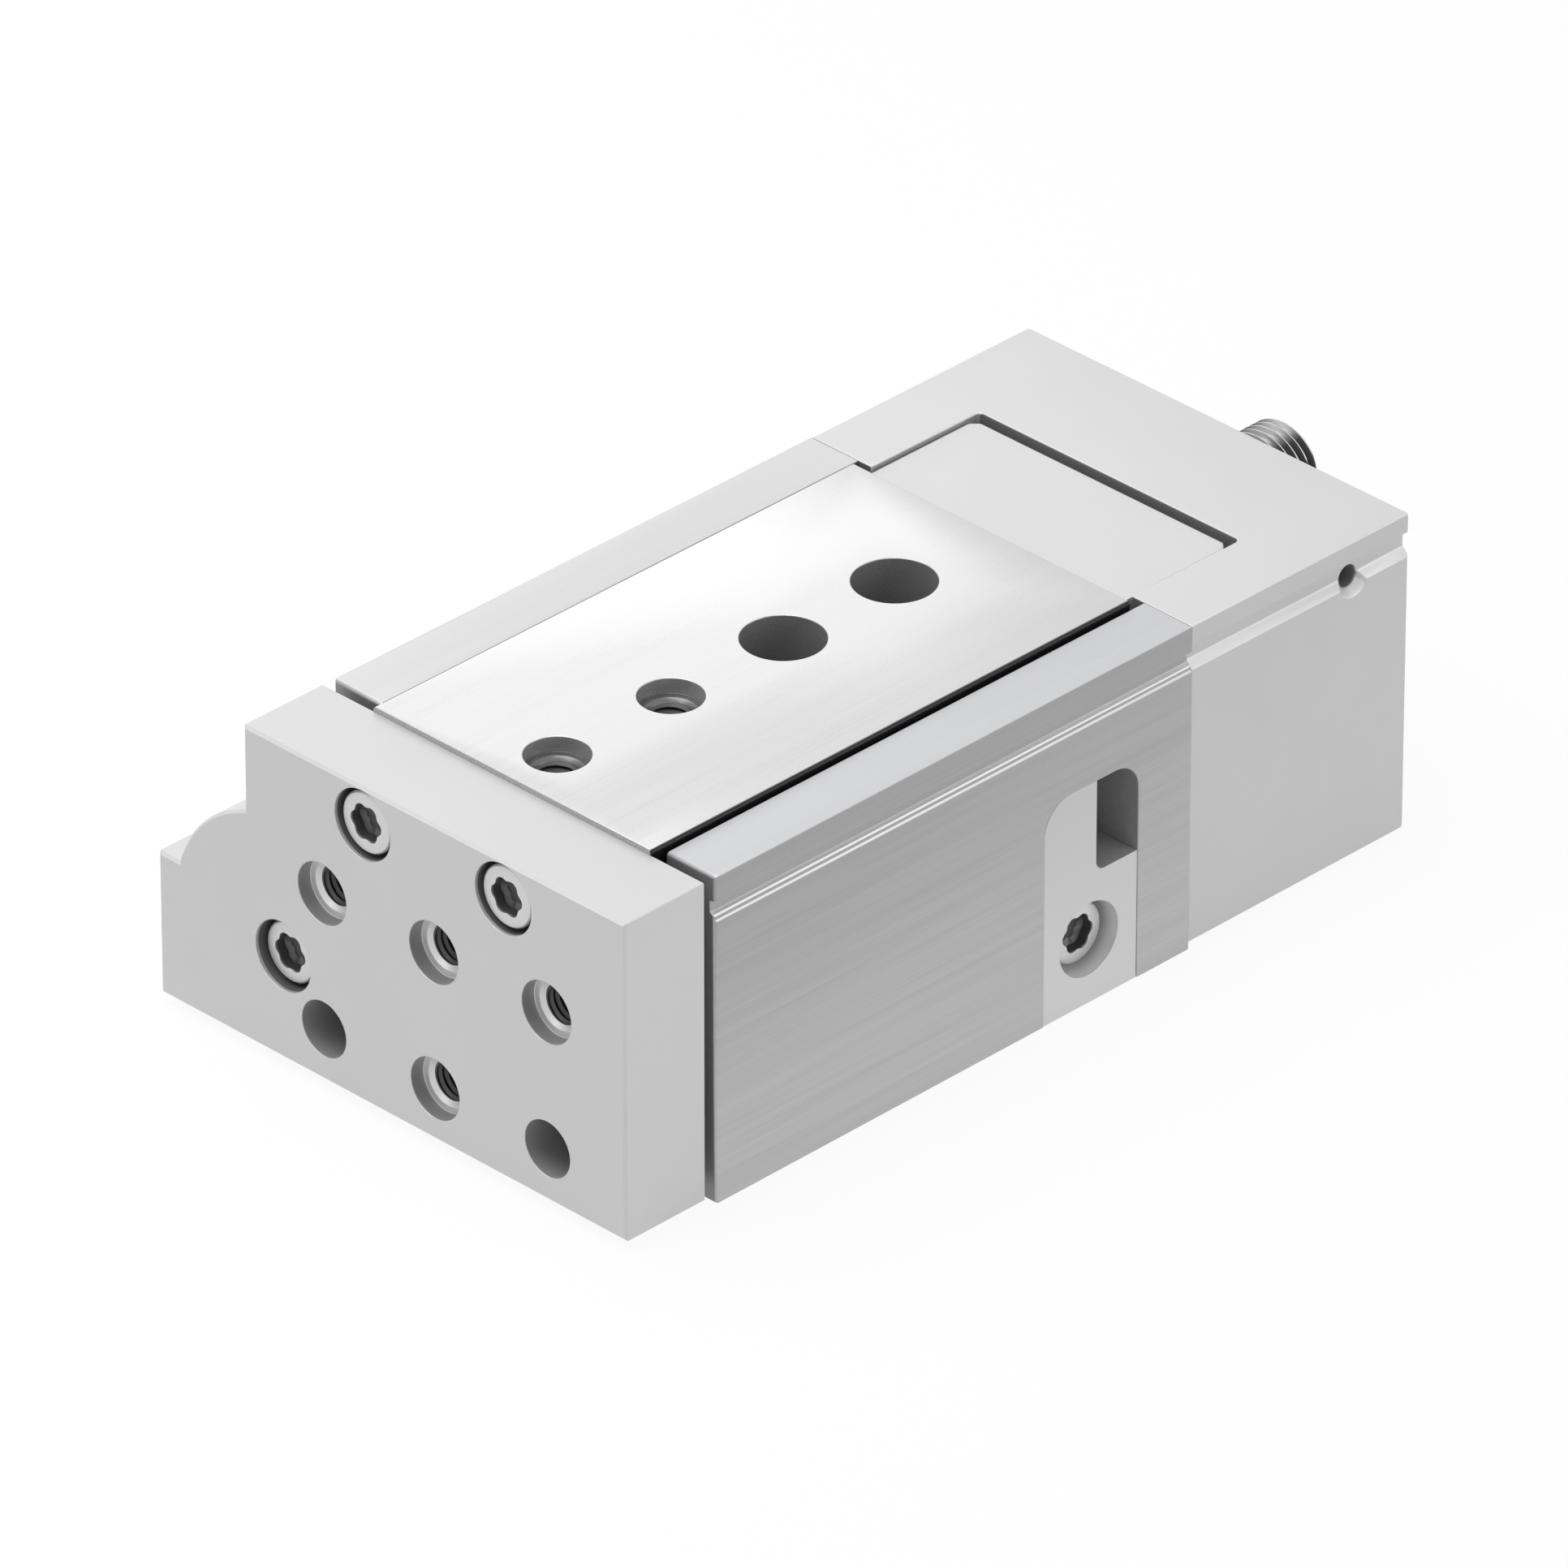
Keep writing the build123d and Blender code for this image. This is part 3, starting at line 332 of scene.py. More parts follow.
# %% The yoke
hole_pitch, screw_pitch = 16, 20
high_row_z, low_row_z = 23.3, 7.3
yoke_threads = [(-hole_pitch, high_row_z), (hole_pitch, high_row_z), (0, high_row_z),
                (0, low_row_z)]
plain_holes = [(-hole_pitch, low_row_z), (hole_pitch, low_row_z)]
seat_depth, head_r = 1.8, 3.5
screw_row_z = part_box("yoke_screws")[1].z / MM - head_r
rod_axis = sum(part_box("rod_screw"), Vector()) / 2 / MM
screw_seats = [(-screw_pitch / 2, screw_row_z), (screw_pitch / 2, screw_row_z),
               (rod_axis.x, rod_axis.z)]
yoke_front, yoke_back = (corner.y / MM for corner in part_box("yoke_plate"))
mask_r, mask_front, mask_back = 4.2, yoke_front + 0.1, yoke_back - 0.2
seat_floor, head_rim = yoke_front + seat_depth - 0.05, yoke_front + 0.4
# The yoke's top is painted a little darker as painted shade. Seat walls, the depths of the
# counterbores and the plain holes get painted shade, and seat floors a painted highlight.
yoke_finish = blasted("yoke_blasted_aluminium", 216, painted_top_level=209, holes=[
    (170, "Y", yoke_threads, mask_r, mask_front, seat_floor),
    (250, "Y", yoke_threads, mask_r, seat_floor, mask_back),
    (205, "Y", screw_seats, mask_r, mask_front, head_rim),
    (125, "Y", screw_seats, mask_r, head_rim, mask_back),
    (190, "Y", plain_holes, 3.4, mask_front, mask_back)])
print("a third one, with", len(yoke_threads + screw_seats + plain_holes), "holes in the yoke")

# %% [markdown]
# ## Brushed aluminium
#
# The housing's sides are brushed along the stroke. Brush marks are long and thin, so the noise is
# stretched: a fine one for single scratches, a coarse one for bands. The strips on top are milled
# after brushing, so their marks hardly show. The left strip is painted lighter than the right one,
# as painted light, and the right one takes a bluish tint, a painted reflection. The slope of the
# groove along the right side gets a painted highlight, while the front end and the walls deep in
# the pocket get painted shade. The sides are painted lighter towards the base, as painted bounce
# light from the floor. Which face is which is read from the surface's own normal and place, so the
# pattern stays with the metal when the object turns.

# %% Brushed aluminium
housing_low, housing_high = (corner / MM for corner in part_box("housing"))
pocket_wall_x = insert_high.x - 1
# A bluish tint for the right strip, a painted reflection.
painted_reflection_tint = (0.985, 0.99, 1.015)


def brushed(name, side_level, left_level, right_level, painted_slope_level, painted_shade_level):
    """Brush marks along Y on the sides, and fainter marks everywhere else, with painted light,
    shade and reflection by face and place.
    """
    finish = Finish(name, Metallic=0.45)
    scratches = finish.noise(0.12, stretch=(1, 220, 1), detail=3)
    bands = finish.noise(0.9, stretch=(1, 60, 1), detail=2)
    marks = scratches * 0.55 + bands * 0.45
    across, along, edge = finish.at("X"), finish.at("Y"), 0.1 * MM
    # The sides are painted lighter towards the base, as painted bounce light from the floor.
    colour = painted_floor_bounce(finish, finish.grey(marks, side_level, 20), 0.28)
    # The groove's slope gets a painted highlight.
    slope = finish.facing("Z", 0.4) * finish.facing("X", 0.2)
    colour = finish.mixed(slope, colour, finish.grey(marks, painted_slope_level, 7))
    # The left strip is painted lighter than the right one as painted light, and the right one takes
    # the painted reflection tint.
    strips = finish.mixed(across.above(0, edge), finish.grey(marks, left_level, 6),
                          finish.grey(marks, right_level, 6, painted_reflection_tint))
    colour = finish.mixed(finish.facing("Z", 0.93), colour, strips)
    # The front end and the deep walls of the pocket get painted shade.
    painted_shade = finish.grey(marks, painted_shade_level, 6)
    front_end = finish.facing_front() * (1 - along.above((housing_low.y + 1) * MM, edge))
    deep_walls = finish.facing("X") * (1 - across.above(pocket_wall_x * MM, edge))
    for mask in (front_end, deep_walls):
        colour = finish.mixed(mask, colour, painted_shade)
    finish.drive("Base Color", colour)
    finish.drive("Roughness", marks * 0.2 + 0.34)
    finish.relief(marks, 0.006)
    return finish.material


housing_finish = brushed("housing_brushed_aluminium", 199, 211, 201, 229, 150)
print("brushed along the stroke, over", round(housing_high.y - housing_low.y, 1), "mm")

# %% [markdown]
# ## Ground steel
#
# The table is hardened steel, ground flat. Its top is nearly a mirror that has been made soft by
# straight, very fine marks along the stroke: full metallic, a low roughness and shallow marks.
# The walls aren't ground, so they are less metallic, and they are painted darker than the top as
# painted shade; here too the normal and the place tell them apart. The two near holes are painted
# paler than the far ones, as painted light, down to the floors of their centring seats, which are
# painted dark as painted shade. The wall on the right is painted the darkest, as painted shade
# where it stands in a narrow gap that light hardly reaches.

# %% Ground steel
def ground(name, level, roughness, painted_wall_level, flat_from=0.5, refine=None):
    """Fine marks along Y, with walls painted in a darker tone as painted shade. refine() may change
    which faces count as flat, and the walls.
    """
    spread = 6
    finish = Finish(name)
    marks = finish.noise(0.1, stretch=(1, 300, 1), detail=3)
    waves = finish.noise(1.6, stretch=(1, 40, 1))
    tone = marks * 0.6 + waves * 0.4
    is_flat = finish.facing("Z", flat_from)
    # The walls are painted darker than the flat faces, as painted shade.
    wall = finish.grey(tone, painted_wall_level, spread)
    if refine:
        is_flat, wall = refine(finish, tone, is_flat, wall)
    finish.drive("Base Color", finish.mixed(is_flat, wall, finish.grey(tone, level, spread)))
    finish.drive("Metallic", is_flat * 0.6 + 0.4)
    finish.drive("Roughness", tone * 0.12 + (roughness - 0.06))
    finish.relief(marks, 0.002)
    return finish.material


table_low, table_high = (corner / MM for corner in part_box("slide_table"))
table_middle_y = (table_low.y + table_high.y) / 2


def table_walls(finish, tone, is_flat, wall):
    """The table's top alone as flat, and the painted light and shade of its walls, holes and seats.
    """
    up, edge = finish.at("Z"), 0.1 * MM
    near = 1 - finish.at("Y").above(table_middle_y * MM, edge)
    seat_floor_shade = near * (1 - up.above((table_high.z - seat_depth + 0.1) * MM, edge))
    right_wall_shade = finish.at("X").above((table_high.x - 0.3) * MM, edge)
    # The near holes are painted paler as painted light; the floors of their seats and the right
    # wall are painted dark as painted shade.
    for mask, level, spread in ((near, 200, 6), (seat_floor_shade, 120, 5), (right_wall_shade, 30, 4)):
        wall = finish.mixed(mask, wall, finish.grey(tone, level, spread))
    return is_flat * up.above((table_high.z - 1) * MM, edge), wall


table_finish = ground("table_ground_steel", 213, 0.28, 168, 0.945, table_walls)
rail_finish = ground("rail_ground_steel", 205, 0.28, 190)
print("two ground finishes")

# %% [markdown]
# ## Turned, plated and moulded pieces
#
# What is left is small: screws, the rod, rings, seals and the balls. One function serves all the
# metals and another the rubbers and plastics. Even so, each gets a fine grain of its own, because
# a perfectly even surface is what gives a computer picture away.

# %% Small metals and polymers
def metal(name, level, roughness, tint=(1, 1, 1), grain_mm=0.15, stretch=(1, 1, 1), metallic=1.0):
    finish = Finish(name, Metallic=metallic)
    grain = finish.noise(grain_mm, stretch)
    finish.drive("Base Color", finish.grey(grain, level, 7, tint))
    finish.drive("Roughness", grain * 0.1 + (roughness - 0.05))
    finish.relief(grain, 0.002)
    return finish.material


def polymer(name, level, roughness, tint=(1, 1, 1)):
    finish = Finish(name, Metallic=0.0, Specular_IOR_Level=0.4)
    grain = finish.noise(0.2)
    finish.drive("Base Color", finish.blend(grain, shade(level - 5, tint), shade(level + 8, tint)))
    finish.drive("Roughness", grain * 0.15 + (roughness - 0.07))
    finish.relief(grain, 0.006)
    return finish.material


# The screws' sockets and the cut threads are the same metals as their parts, painted dark as
# painted shade in these recesses.
socket_shade_finish = metal("socket_steel_painted_shade", 105, 0.45, metallic=0.5)
thread_shade_finish = metal("cut_thread_painted_shade", 108, 0.6, grain_mm=0.1)
print("the screws' sockets and the cut threads are dark")

# %% [markdown]
# The record says which material slot each node takes, so a list of slots and finishes is enough,
# and a loop dresses all nodes. Those that are modelled again further down get the finish of their
# slot there, the screws with a second one for their sockets, except the sleeve, which gets a finish
# of its own.

# %% Dress the nodes
finishes = {
    "housing_aluminium": housing_finish,
    "yoke_aluminium": yoke_finish,
    "cap_aluminium": cap_finish,
    "insert_aluminium": insert_finish,
    "ground_steel": table_finish,
    "rail_steel": rail_finish,
    "screw_steel": metal("bright_screw_steel", 222, 0.4, metallic=0.55),
    "turned_steel": metal("turned_sleeve_steel", 150, 0.36, grain_mm=0.3, stretch=(1, 0.3, 1)),
    "chromed_steel": metal("hard_chrome", 225, 0.1, tint=(0.97, 0.99, 1.0), stretch=(1, 0.2, 1)),
    "bearing_steel": metal("bearing_steel", 222, 0.08),
    "turned_aluminium": metal("turned_aluminium", 205, 0.34, grain_mm=0.3, stretch=(1, 0.3, 1)),
    "bronze": metal("sintered_bronze", 176, 0.42, tint=(1.0, 0.78, 0.5), grain_mm=0.08),
    "brass": metal("plug_brass", 205, 0.28, tint=(1.0, 0.84, 0.52)),
    "cage_plastic": polymer("cage_plastic", 92, 0.5, tint=(0.95, 0.97, 1.0)),
    "guide_plastic": polymer("guide_plastic", 70, 0.45),
    "black_rubber": polymer("black_rubber", 30, 0.6),
    "buffer_rubber": polymer("buffer_polyurethane", 150, 0.5, tint=(1.0, 0.86, 0.45)),
    "magnet": metal("sintered_magnet", 96, 0.5, grain_mm=0.06),
}
slot_of = {row["node"]: row["material_slot"] for row in frame["record"]["subparts"]}
for name, node in nodes.items():
    for slot in node.material_slots:
        slot.material = finishes[slot_of[name]]
print("dressed", len(slot_of), "nodes in", len(finishes), "finishes")

# %% [markdown]
# ## Finishing a piece
#
# Every new piece ends the same way: its doubles are merged, its faces are turned outwards, its
# sharp edges are marked so that round walls shade smoothly and flat faces stay flat, it is told
# which body it rides on, and the nodes it stands for are hidden.

# %% Turning a bmesh into a piece
sharp_degrees = 21


def finish_piece(bm, name, body, slot, stands_for=(), finish=None):
    bmesh.ops.remove_doubles(bm, verts=bm.verts, dist=0.0005 * MM)
    bmesh.ops.recalc_face_normals(bm, faces=bm.faces)
    for face in bm.faces:
        face.smooth = True
    for edge in bm.edges:
        edge.smooth = edge.is_manifold and edge.calc_face_angle() < radians(sharp_degrees)
    open_edges = sum(not edge.is_manifold for edge in bm.edges)
    mesh = bpy.data.meshes.new(name)
    bm.to_mesh(mesh)
    bm.free()
    mesh.materials.append(finish or finishes[slot])
    piece = bpy.data.objects.new(name, mesh)
    bpy.context.scene.collection.objects.link(piece)
    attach(piece, body)
    if stands_for:
        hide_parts(*stands_for)
    print(f"{name}: {len(mesh.polygons)} faces, {open_edges} open edges")
    return piece


print("edges above", sharp_degrees, "degrees stay sharp")

# %% [markdown]
# ## Broken edges
#
# A machinist breaks every edge of a block, and the thin bright line along it is what makes a
# render look machined. The solids have sharp edges, so the large pieces are copied, their loose
# triangles are merged back into whole faces, and the edges between them get a narrow bevel of two
# segments. A Bevel modifier could do it too, but it would cut each flat face into slivers first.
# Some rims get a wider, flat chamfer before that, because it shows as a line or a ring.

# %% Edge breaking
def break_edges(name, width_mm, wide=None, wide_mm=0, above_angle=32):
    """A copy of a node with its edges broken. wide() picks edges that get a wide chamfer first."""
    bm = bmesh.new()
    bm.from_mesh(nodes[name].data)
    bmesh.ops.remove_doubles(bm, verts=bm.verts, dist=0.002 * MM)
    bmesh.ops.dissolve_limit(bm, angle_limit=radians(1), verts=bm.verts, edges=bm.edges)
    if wide:
        rims = [edge for edge in bm.edges if edge.is_manifold and wide(edge)
                and edge.calc_face_angle() > radians(60)]
        bmesh.ops.bevel(bm, geom=rims, offset=wide_mm * MM, offset_type="OFFSET", segments=1,
                        profile=0.5, affect="EDGES", clamp_overlap=True, material=-1)
        print(f"{name}: {len(rims)} rim edges chamfered")
    edges = [edge for edge in bm.edges if edge.is_manifold
             and edge.calc_face_angle() > radians(above_angle)]
    bmesh.ops.bevel(bm, geom=edges, offset=width_mm * MM, offset_type="OFFSET", segments=2,
                    profile=0.5, affect="EDGES", clamp_overlap=False, material=-1)
    large = [face for face in bm.faces if len(face.verts) > 4]
    bmesh.ops.triangulate(bm, faces=large)
    bmesh.ops.dissolve_degenerate(bm, edges=bm.edges, dist=0.001 * MM)
    print(f"{name}: {len(edges)} edges broken")
    return finish_piece(bm, name + "_machined", body_of(nodes[name])[0], slot_of[name], (name,))


print("six blocks get broken edges")

# %% [markdown]
# Each threaded hole in the yoke and the table starts as a centring seat, and the thread at its
# bottom has a chamfered mouth that catches the light. Those rims lie at a known distance from a
# known axis, which is enough to find their edges in the copied mesh. The groove along the
# housing's right side ends in a low step, and a chamfer on that step draws the bright line under
# the groove. Its edges lie at a known distance from the housing's upper right corner.

# %% Rims with a chamfer
thread_r, chamfer, rim_tolerance = 2.3, 0.45, 0.06
table_threads = [(0, -40), (0, -24)]
step_in, step_down, step_chamfer, step_tolerance = 0.2, 4.65, 0.2, 0.03


def on_rim(edge, centres, first, second, depth_axis, depth):
    """True if both ends of an edge lie on the mouth of a thread at one of the centres."""
    for vertex in edge.verts:
        point = vertex.co / MM
        radii = [Vector((point[first] - a, point[second] - b)).length for a, b in centres]
        on_circle = any(abs(radius - thread_r) < rim_tolerance for radius in radii)
        if not on_circle or abs(point[depth_axis] - depth) > rim_tolerance:
            return False
    return True


def yoke_rim(edge):
    return on_rim(edge, yoke_threads, 0, 2, 1, yoke_front + seat_depth)


def table_rim(edge):
    return on_rim(edge, table_threads, 0, 1, 2, table_high.z - seat_depth)


def groove_rim(edge):
    """True if both ends of an edge lie where the groove's slope meets the low step under it."""
    corners = [vertex.co / MM for vertex in edge.verts]
    return all(abs(corner.x - housing_high.x + step_in) < step_tolerance
               and abs(corner.z - housing_high.z + step_down) < step_tolerance
               for corner in corners)


print(len(yoke_threads) + len(table_threads), "threads start in a seat")

# %% Machined blocks
break_edges("housing", 0.12, groove_rim, step_chamfer)
break_edges("rear_cap", 0.15)
break_edges("yoke_plate", 0.08, yoke_rim, chamfer, above_angle=50)
break_edges("slide_table", 0.08, table_rim, chamfer)
break_edges("table_end_block", 0.2)
break_edges("side_insert", 0.06)

# %% [markdown]
# ## Round pieces, ring by ring
#
# Screws, sleeves and sockets are stacks of rings round one axis. The first ring is a circle. Each
# next one is extruded from it and pushed to a new height and outline, which may be lobed or
# six-sided, because every vertex keeps its angle and only its distance changes. A screw modelled
# so has a real socket: its first rings lie on the socket's floor and climb out of it.

# %% Stacked rings
ring_points = 72


def lobed(radius, swing):
    """The outline of a six-lobe socket. The second wave makes the tips of the lobes rounder."""
    return lambda angle: radius + swing * (cos(6 * angle) - 0.16 * cos(12 * angle))


def six_sided(across_flats):
    """The outline of a hexagon."""
    return lambda angle: across_flats / 2 / cos((angle + pi / 6) % (pi / 3) - pi / 6)


def place_ring(verts, outline, z_mm):
    """Move vertices to an outline, a radius or a radius by angle, at a height."""
    for vertex in verts:
        angle = atan2(vertex.co.y, vertex.co.x)
        radius = outline(angle) if callable(outline) else outline
        vertex.co = Vector((cos(angle) * radius, sin(angle) * radius, z_mm)) * MM


def next_rings(bm, edges, stations):
    """Extrude a closed loop of edges through these (outline, z) stations. Returns the last loop."""
    for outline, z_mm in stations:
        made = bmesh.ops.extrude_edge_only(bm, edges=edges)["geom"]
        verts = {part for part in made if isinstance(part, bmesh.types.BMVert)}
        place_ring(verts, outline, z_mm)
        edges = [part for part in made if isinstance(part, bmesh.types.BMEdge)
                 and set(part.verts) <= verts]
    return edges


def stack(bm, stations):
    """A closed solid through these stations, filled at both ends."""
    verts = bmesh.ops.create_circle(bm, cap_ends=False, radius=MM, segments=ring_points)["verts"]
    place_ring(verts, *stations[0])
    first = list({edge for vertex in verts for edge in vertex.link_edges})
    last = next_rings(bm, first, stations[1:])
    bmesh.ops.edgeloop_fill(bm, edges=first)
    bmesh.ops.edgeloop_fill(bm, edges=last)


def aim(bm, verts, origin_mm, axis):
    """Turn these vertices so that +Z points along the axis, and move them to the origin."""
    turn = Vector(axis).to_track_quat("Z", "Y").to_matrix().to_4x4()
    matrix = Matrix.Translation(Vector(origin_mm) * MM) @ turn
    bmesh.ops.transform(bm, matrix=matrix, verts=verts)


print("a ring has", ring_points, "points")

# %% [markdown]
# ## Low-head screws with six-lobe sockets
#
# The screws in the yoke and the side insert have flat, bright heads with a socket about half as
# wide, painted dark as painted shade. The recess is six-lobed: its outline is a circle whose radius
# swings six times per turn.
# The rim of the head is rounded by a few rings of growing radius.

# %% Screws
head_h, shank_r = 2.8, 2.5
socket_outline, socket_mouth = lobed(1.97, 0.12), lobed(2.06, 0.16)
socket_r, socket_deep = 2.4, 1.5


def screw_stations(length):
    """Rings from the socket's floor out over the head and down to the tip. z is 0 on the head."""
    return [
        (lobed(1.3, 0.18), -socket_deep),
        (socket_outline, -socket_deep + 0.3),
        (socket_outline, -0.12),
        (socket_mouth, 0),
        (head_r - 0.45, 0),
        (head_r - 0.22, -0.07),
        (head_r - 0.05, -0.24),
        (head_r, -0.5),
        (head_r, -head_h + 0.2),
        (head_r - 0.2, -head_h),
        (shank_r, -head_h),
        (shank_r, -length + 0.6),
        (shank_r - 0.6, -length),
    ]


def make_screws(node, heads, axis):
    """Screws that stand for a node, with the middles of their head faces at these points."""
    low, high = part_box(node)
    length = abs((high - low).dot(Vector(axis))) / MM
    bm = bmesh.new()
    for head in heads:
        before = set(bm.verts)
        stack(bm, screw_stations(length))
        added = [vertex for vertex in bm.verts if vertex not in before]
        for face in {face for vertex in added for face in vertex.link_faces}:
            middle = face.calc_center_median() / MM
            in_socket = middle.xy.length < socket_r and -socket_deep - 0.01 < middle.z < -0.05
            face.material_index = int(in_socket)
        aim(bm, added, head, axis)
    piece = finish_piece(bm, node + "_socketed", body_of(nodes[node])[0], slot_of[node], (node,))
    piece.data.materials.append(socket_shade_finish)


def head_points(node, axis):
    """The middles of the head faces of one or two screws side by side, read from the node's box."""
    low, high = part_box(node)
    low, high, out = low / MM, high / MM, Vector(axis)
    face = high if sum(out) > 0 else low
    middle = (low + high) / 2
    middle += out * (face - middle).dot(out)
    spread = (high.x - low.x) / 2 - head_r if abs(out.x) < 0.5 else 0
    if spread < 0.1:
        return [middle]
    return [middle + Vector((side * spread, 0, 0)) for side in (-1, 1)]


for node, axis in (("yoke_screws", (0, -1, 0)), ("rod_screw", (0, -1, 0)),
                   ("side_insert_screw", (1, 0, 0))):
    make_screws(node, head_points(node, axis), axis)

# %% [markdown]
# ## Threads
#
# A thread is one tooth profile turned round an axis while it climbs by one pitch. Blender's spin
# does that with its `dvec`: each step also moves the profile a little. The profile holds every
# tooth of the length, so after one full turn each tooth lands on its neighbour and merging the
# doubles joins them into a helix. Two plane cuts then square off the ends.

# %% Helical sheets
turn_steps = 48


def helix(bm, crest, root, pitch, low, high):
    """An open thread surface between two heights along Z, and the loops of its two ends."""
    teeth = int((high - low) / pitch) + 3
    corners = []
    tooth = ((root, -0.06), (root, 0.06), (crest, 0.44), (crest, 0.56))
    for count in range(teeth + 1):
        z = low - 1.5 * pitch + count * pitch
        for radius, share in tooth:
            corners.append(bm.verts.new(Vector((radius, 0, z + share * pitch)) * MM))
    profile = [bm.edges.new(pair) for pair in zip(corners, corners[1:])]
    bmesh.ops.spin(bm, geom=corners + profile, cent=(0, 0, 0), axis=(0, 0, 1), angle=2 * pi,
                   dvec=(0, 0, pitch * MM / turn_steps), steps=turn_steps, use_merge=False)
    bmesh.ops.remove_doubles(bm, verts=bm.verts, dist=0.003 * MM)
    for height, upwards in ((low, -1), (high, 1)):
        everything = list(bm.verts) + list(bm.edges) + list(bm.faces)
        bmesh.ops.bisect_plane(bm, geom=everything, plane_co=(0, 0, height * MM), clear_outer=True,
                               plane_no=(0, 0, upwards), dist=0.0001 * MM)
    ends = []
    for height in (low, high):
        ends.append([edge for edge in bm.edges if edge.is_boundary and all(
            abs(vertex.co.z / MM - height) < 0.001 for vertex in edge.verts)])
    return ends


print("a helix has", turn_steps, "steps a turn")

# %% [markdown]
# ## The end stop's sleeve
#
# The sleeve at the back is a fine thread over its whole length, with a chamfered end and a hexagon
# socket, and its front end holds the stem of the buffer. The chamfer comes from limiting how far
# out a vertex may lie near the end, which trims the teeth as a turning tool would. Its finish is
# the ground steel with walls painted dark, as painted shade and a painted reflection of a darker
# room, where the flanks of a fine thread hide from the light.

# %% Threaded sleeve
sleeve_low, sleeve_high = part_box("stop_sleeve")
sleeve_length = (sleeve_high.y - sleeve_low.y) / MM
sleeve_r, sleeve_root, sleeve_pitch, sleeve_chamfer = 5.0, 4.42, 1.0, 0.8
stem_r, stem_deep = 2.5, 8.0
flats, flats_deep, lip = 4.0, 4.0, 0.2

bm = bmesh.new()
front_end, rear_end = helix(bm, sleeve_r, sleeve_root, sleeve_pitch, 0, sleeve_length)
for vertex in bm.verts:
    to_end = min(vertex.co.z / MM, sleeve_length - vertex.co.z / MM)
    allowed = sleeve_r - sleeve_chamfer + max(to_end, 0)
    from_axis = vertex.co.xy.length / MM
    if from_axis > allowed:
        vertex.co.xy *= allowed / from_axis
hexagon = six_sided(flats)
socket = next_rings(bm, rear_end, (
    (six_sided(flats + 0.3), sleeve_length), (hexagon, sleeve_length - lip),
    (hexagon, sleeve_length - flats_deep)))
stem_hole = next_rings(bm, front_end, ((stem_r + lip, 0), (stem_r, lip), (stem_r, stem_deep)))
for loop in (socket, stem_hole):
    bmesh.ops.edgeloop_fill(bm, edges=loop)
middle = (sleeve_low + sleeve_high) / 2 / MM
aim(bm, bm.verts, (middle.x, sleeve_low.y / MM, middle.z), (0, 1, 0))
sleeve_finish = ground("sleeve_steel", 205, 0.3, 85)
finish_piece(bm, "stop_sleeve_threaded", "base", slot_of["stop_sleeve"], ("stop_sleeve",),
             sleeve_finish)

# %% [markdown]
# ## Threads inside the holes
#
# The solids have plain core holes. A thin liner with ridges on its inside turns each one into a
# threaded hole. It is a closed ring: a thread sheet inside, a plain wall a hair inside the metal
# outside, and a face at each end. It starts where the chamfer of the mouth ends.

# %% Thread liners
def thread_liner(name, mouths, axis, depth, body, slot, hole_r=thread_r, pitch=0.8):
    """Liners along an axis, from these mouths to this depth, as one piece."""
    bm = bmesh.new()
    for mouth in mouths:
        single = bmesh.new()
        crest, root, wall = hole_r - 0.26, hole_r - 0.01, hole_r + 0.05
        ends = helix(single, crest, root, pitch, -depth, 0)
        walls = [next_rings(single, end, ((wall, z),)) for end, z in zip(ends, (-depth, 0))]
        bmesh.ops.bridge_loops(single, edges=walls[0] + walls[1])
        aim(single, single.verts, mouth, axis)
        loose = bpy.data.meshes.new("liner")
        single.to_mesh(loose)
        single.free()
        bm.from_mesh(loose)
        bpy.data.meshes.remove(loose)
    # The liners take the dark thread finish, painted shade inside the holes.
    return finish_piece(bm, name, body, slot, finish=thread_shade_finish)


mouth_deep = seat_depth + chamfer
yoke_mouths = [(x, yoke_front + mouth_deep, z) for x, z in yoke_threads]
table_mouths = [(x, y, table_high.z - mouth_deep) for x, y in table_threads]
thread_liner("yoke_threads", yoke_mouths, (0, -1, 0), 8.4, "table", "yoke_aluminium")
thread_liner("table_threads", table_mouths, (0, 0, 1), 9.0, "table", "ground_steel")

# %% [markdown]
# ## The room
#
# The object stands on white with hardly a shadow, so the room is mostly light. The floor glows to
# the camera, but keeps part of its own paint, so that a soft shadow still grounds the object. It
# lies a hair under the base, because two faces in one plane would show through each other.

# %% Floor
floor_half, floor_drop = 3.0, 0.02 * MM
bm = bmesh.new()
bmesh.ops.create_grid(bm, x_segments=1, y_segments=1, size=floor_half)
bmesh.ops.translate(bm, verts=bm.verts, vec=(0, 0, -floor_drop))
floor_mesh = bpy.data.meshes.new("floor")
bm.to_mesh(floor_mesh)
bm.free()
floor = bpy.data.objects.new("floor", floor_mesh)
bpy.context.scene.collection.objects.link(floor)


def seen(finish):
    """1 for a ray that comes from the camera straight, by one reflection or through glass."""
    def path(name):
        return finish.node("LightPath", {}, out=name)

    later = path("Ray Depth").above(2.5, 0.1)
    return path("Is Camera Ray") + path("Is Transmission Ray") + path("Is Glossy Ray") * (1 - later)


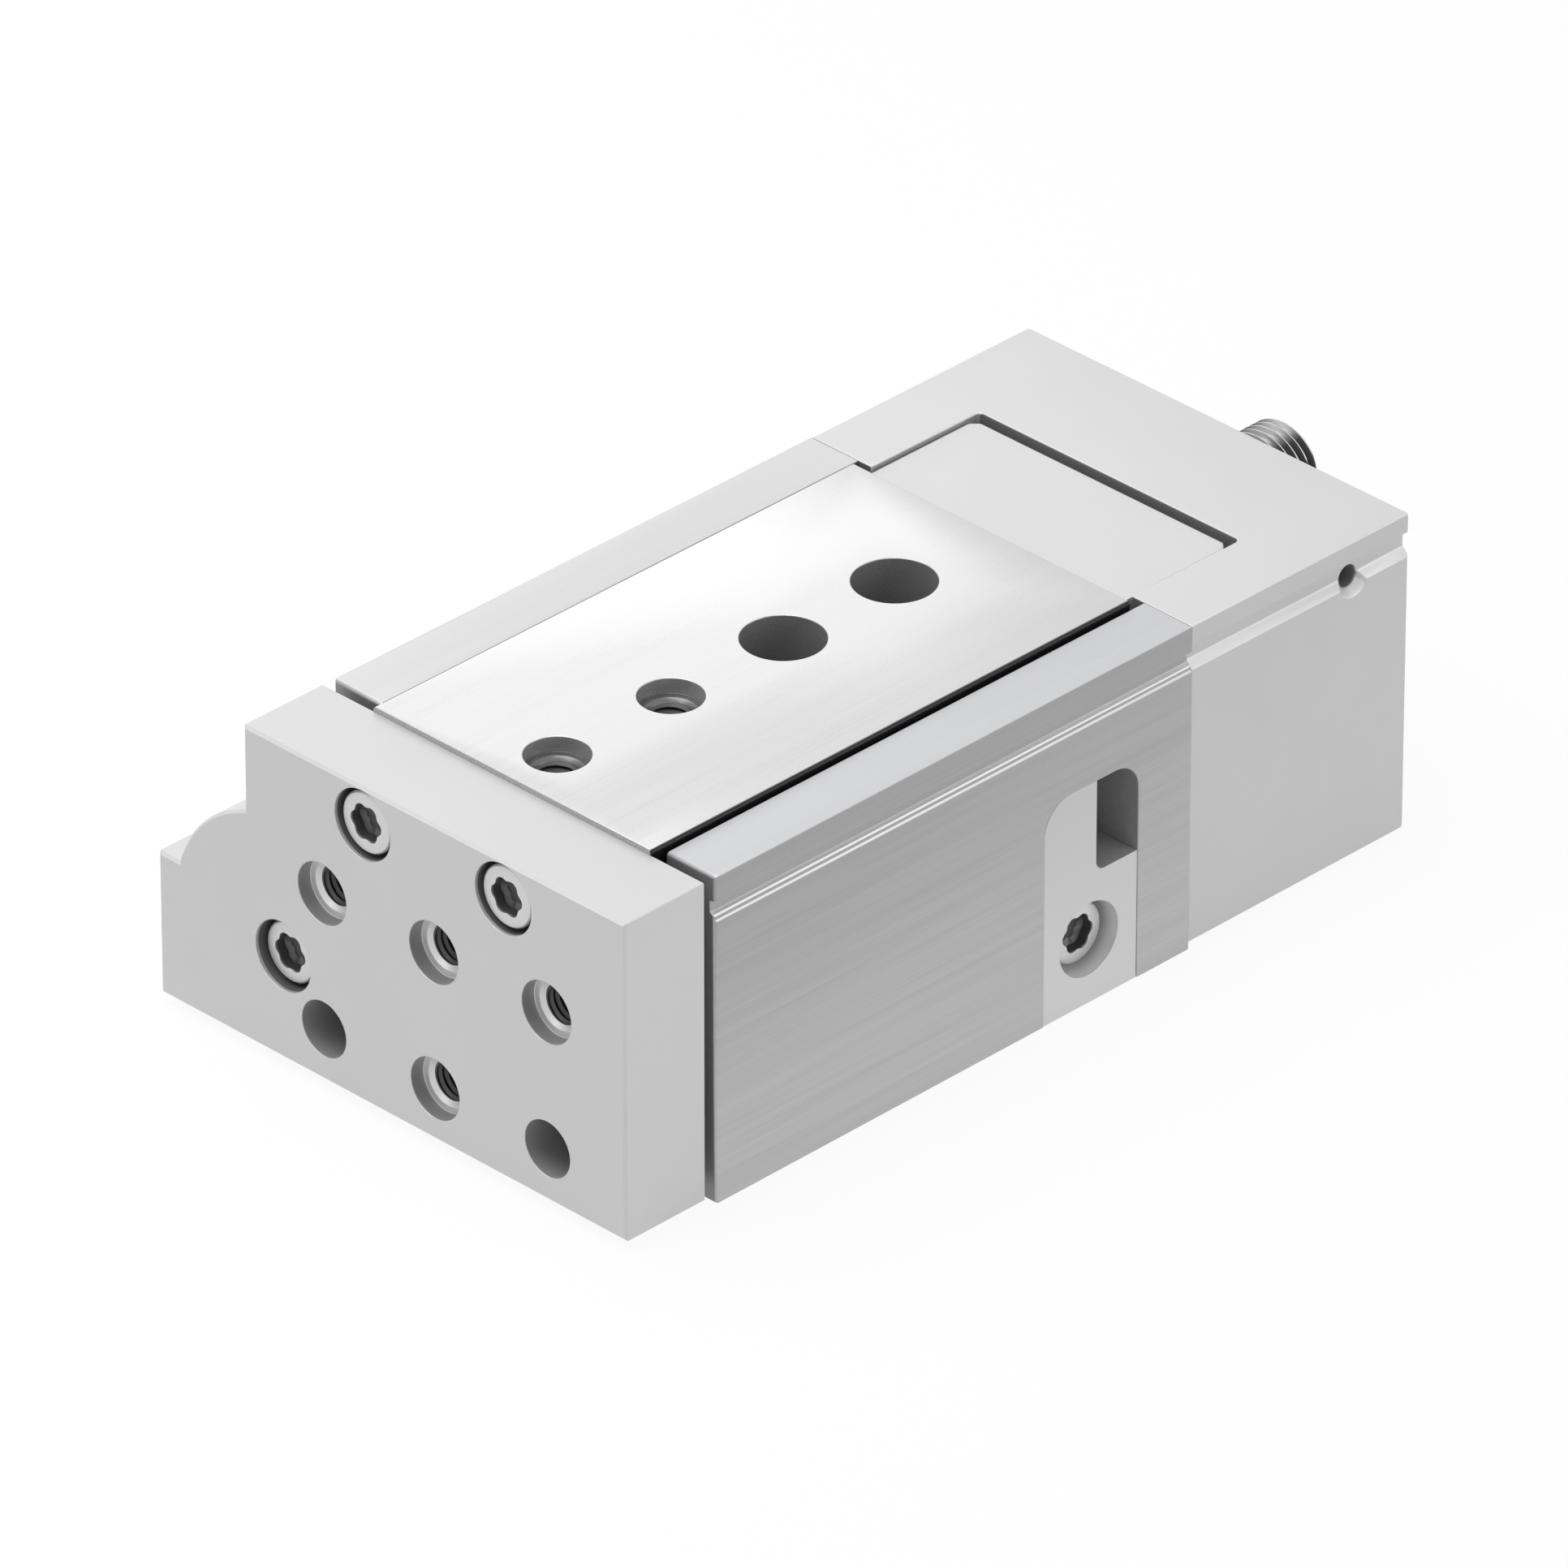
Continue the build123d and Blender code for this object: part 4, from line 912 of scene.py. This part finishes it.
glow_share = 0.9
paint = Finish("floor_paint", Roughness=0.9)
paint.shader.inputs["Base Color"].default_value = (0.9, 0.9, 0.9, 1)
glow = paint.node("Emission", {"Color": (1, 1, 1, 1), "Strength": 1.02})
surface = paint.node("MixShader", {0: seen(paint) * glow_share,
                                   1: Signal(paint, paint.shader.outputs[0]), 2: glow})
paint.tree.links.new(surface.socket, paint.tree.nodes["Material Output"].inputs["Surface"])
floor_mesh.materials.append(paint.material)
print("floor", [round(side, 2) for side in floor.dimensions])

# %% [markdown]
# The world is white to the camera and to reflections and much dimmer to everything else, which
# keeps it from washing out the shading. The helper that builds materials serves it too, once it is
# given the world's own nodes.

# %% World
class Sky(Finish):
    """The same node helper, on the world's tree."""

    def __init__(self, tree):
        self.tree = tree


world = bpy.data.worlds.new("room")
bpy.context.scene.world = world
world.use_nodes = True
backdrop = world.node_tree.nodes["Background"]
backdrop.inputs["Color"].default_value = (1, 1, 1, 1)
dim = 0.3
strength = seen(Sky(world.node_tree)) * (1 - dim) + dim
world.node_tree.links.new(strength.socket, backdrop.inputs["Strength"])
print("the world lights the object at", dim)

# %% [markdown]
# Three soft boxes do the rest. A large one overhead, a little to the front and the left, makes the
# tops the brightest faces, the front the next and the right side the darkest. A low one on the
# left is for the ground table, which mirrors it softly, and one further off at the back right
# lifts the right side. Each is set by how bright its surface is, because that is what a mirror
# shows, and its power follows from its size.

# %% Soft boxes
def soft_box(name, place, width, height, radiance):
    """An area lamp aimed at the object, set by how bright its surface is."""
    lamp = bpy.data.lights.new(name, "AREA")
    lamp.shape = "RECTANGLE"
    lamp.size, lamp.size_y = width, height
    lamp.energy = radiance * pi * width * height
    holder = bpy.data.objects.new(name, lamp)
    holder.location = place
    towards = target - Vector(place)
    holder.rotation_euler = towards.to_track_quat("-Z", "Y").to_euler()
    bpy.context.scene.collection.objects.link(holder)
    print(name, round(lamp.energy, 2), "W")


soft_box("overhead_box", (-0.1, -0.12, 0.45), 0.4, 0.4, 2.94)
soft_box("low_left_box", (-0.33, 0.09, 0.16), 0.45, 0.21, 0.58)
soft_box("right_back_box", (0.6, 0.3, 0.25), 0.4, 0.4, 1.6)
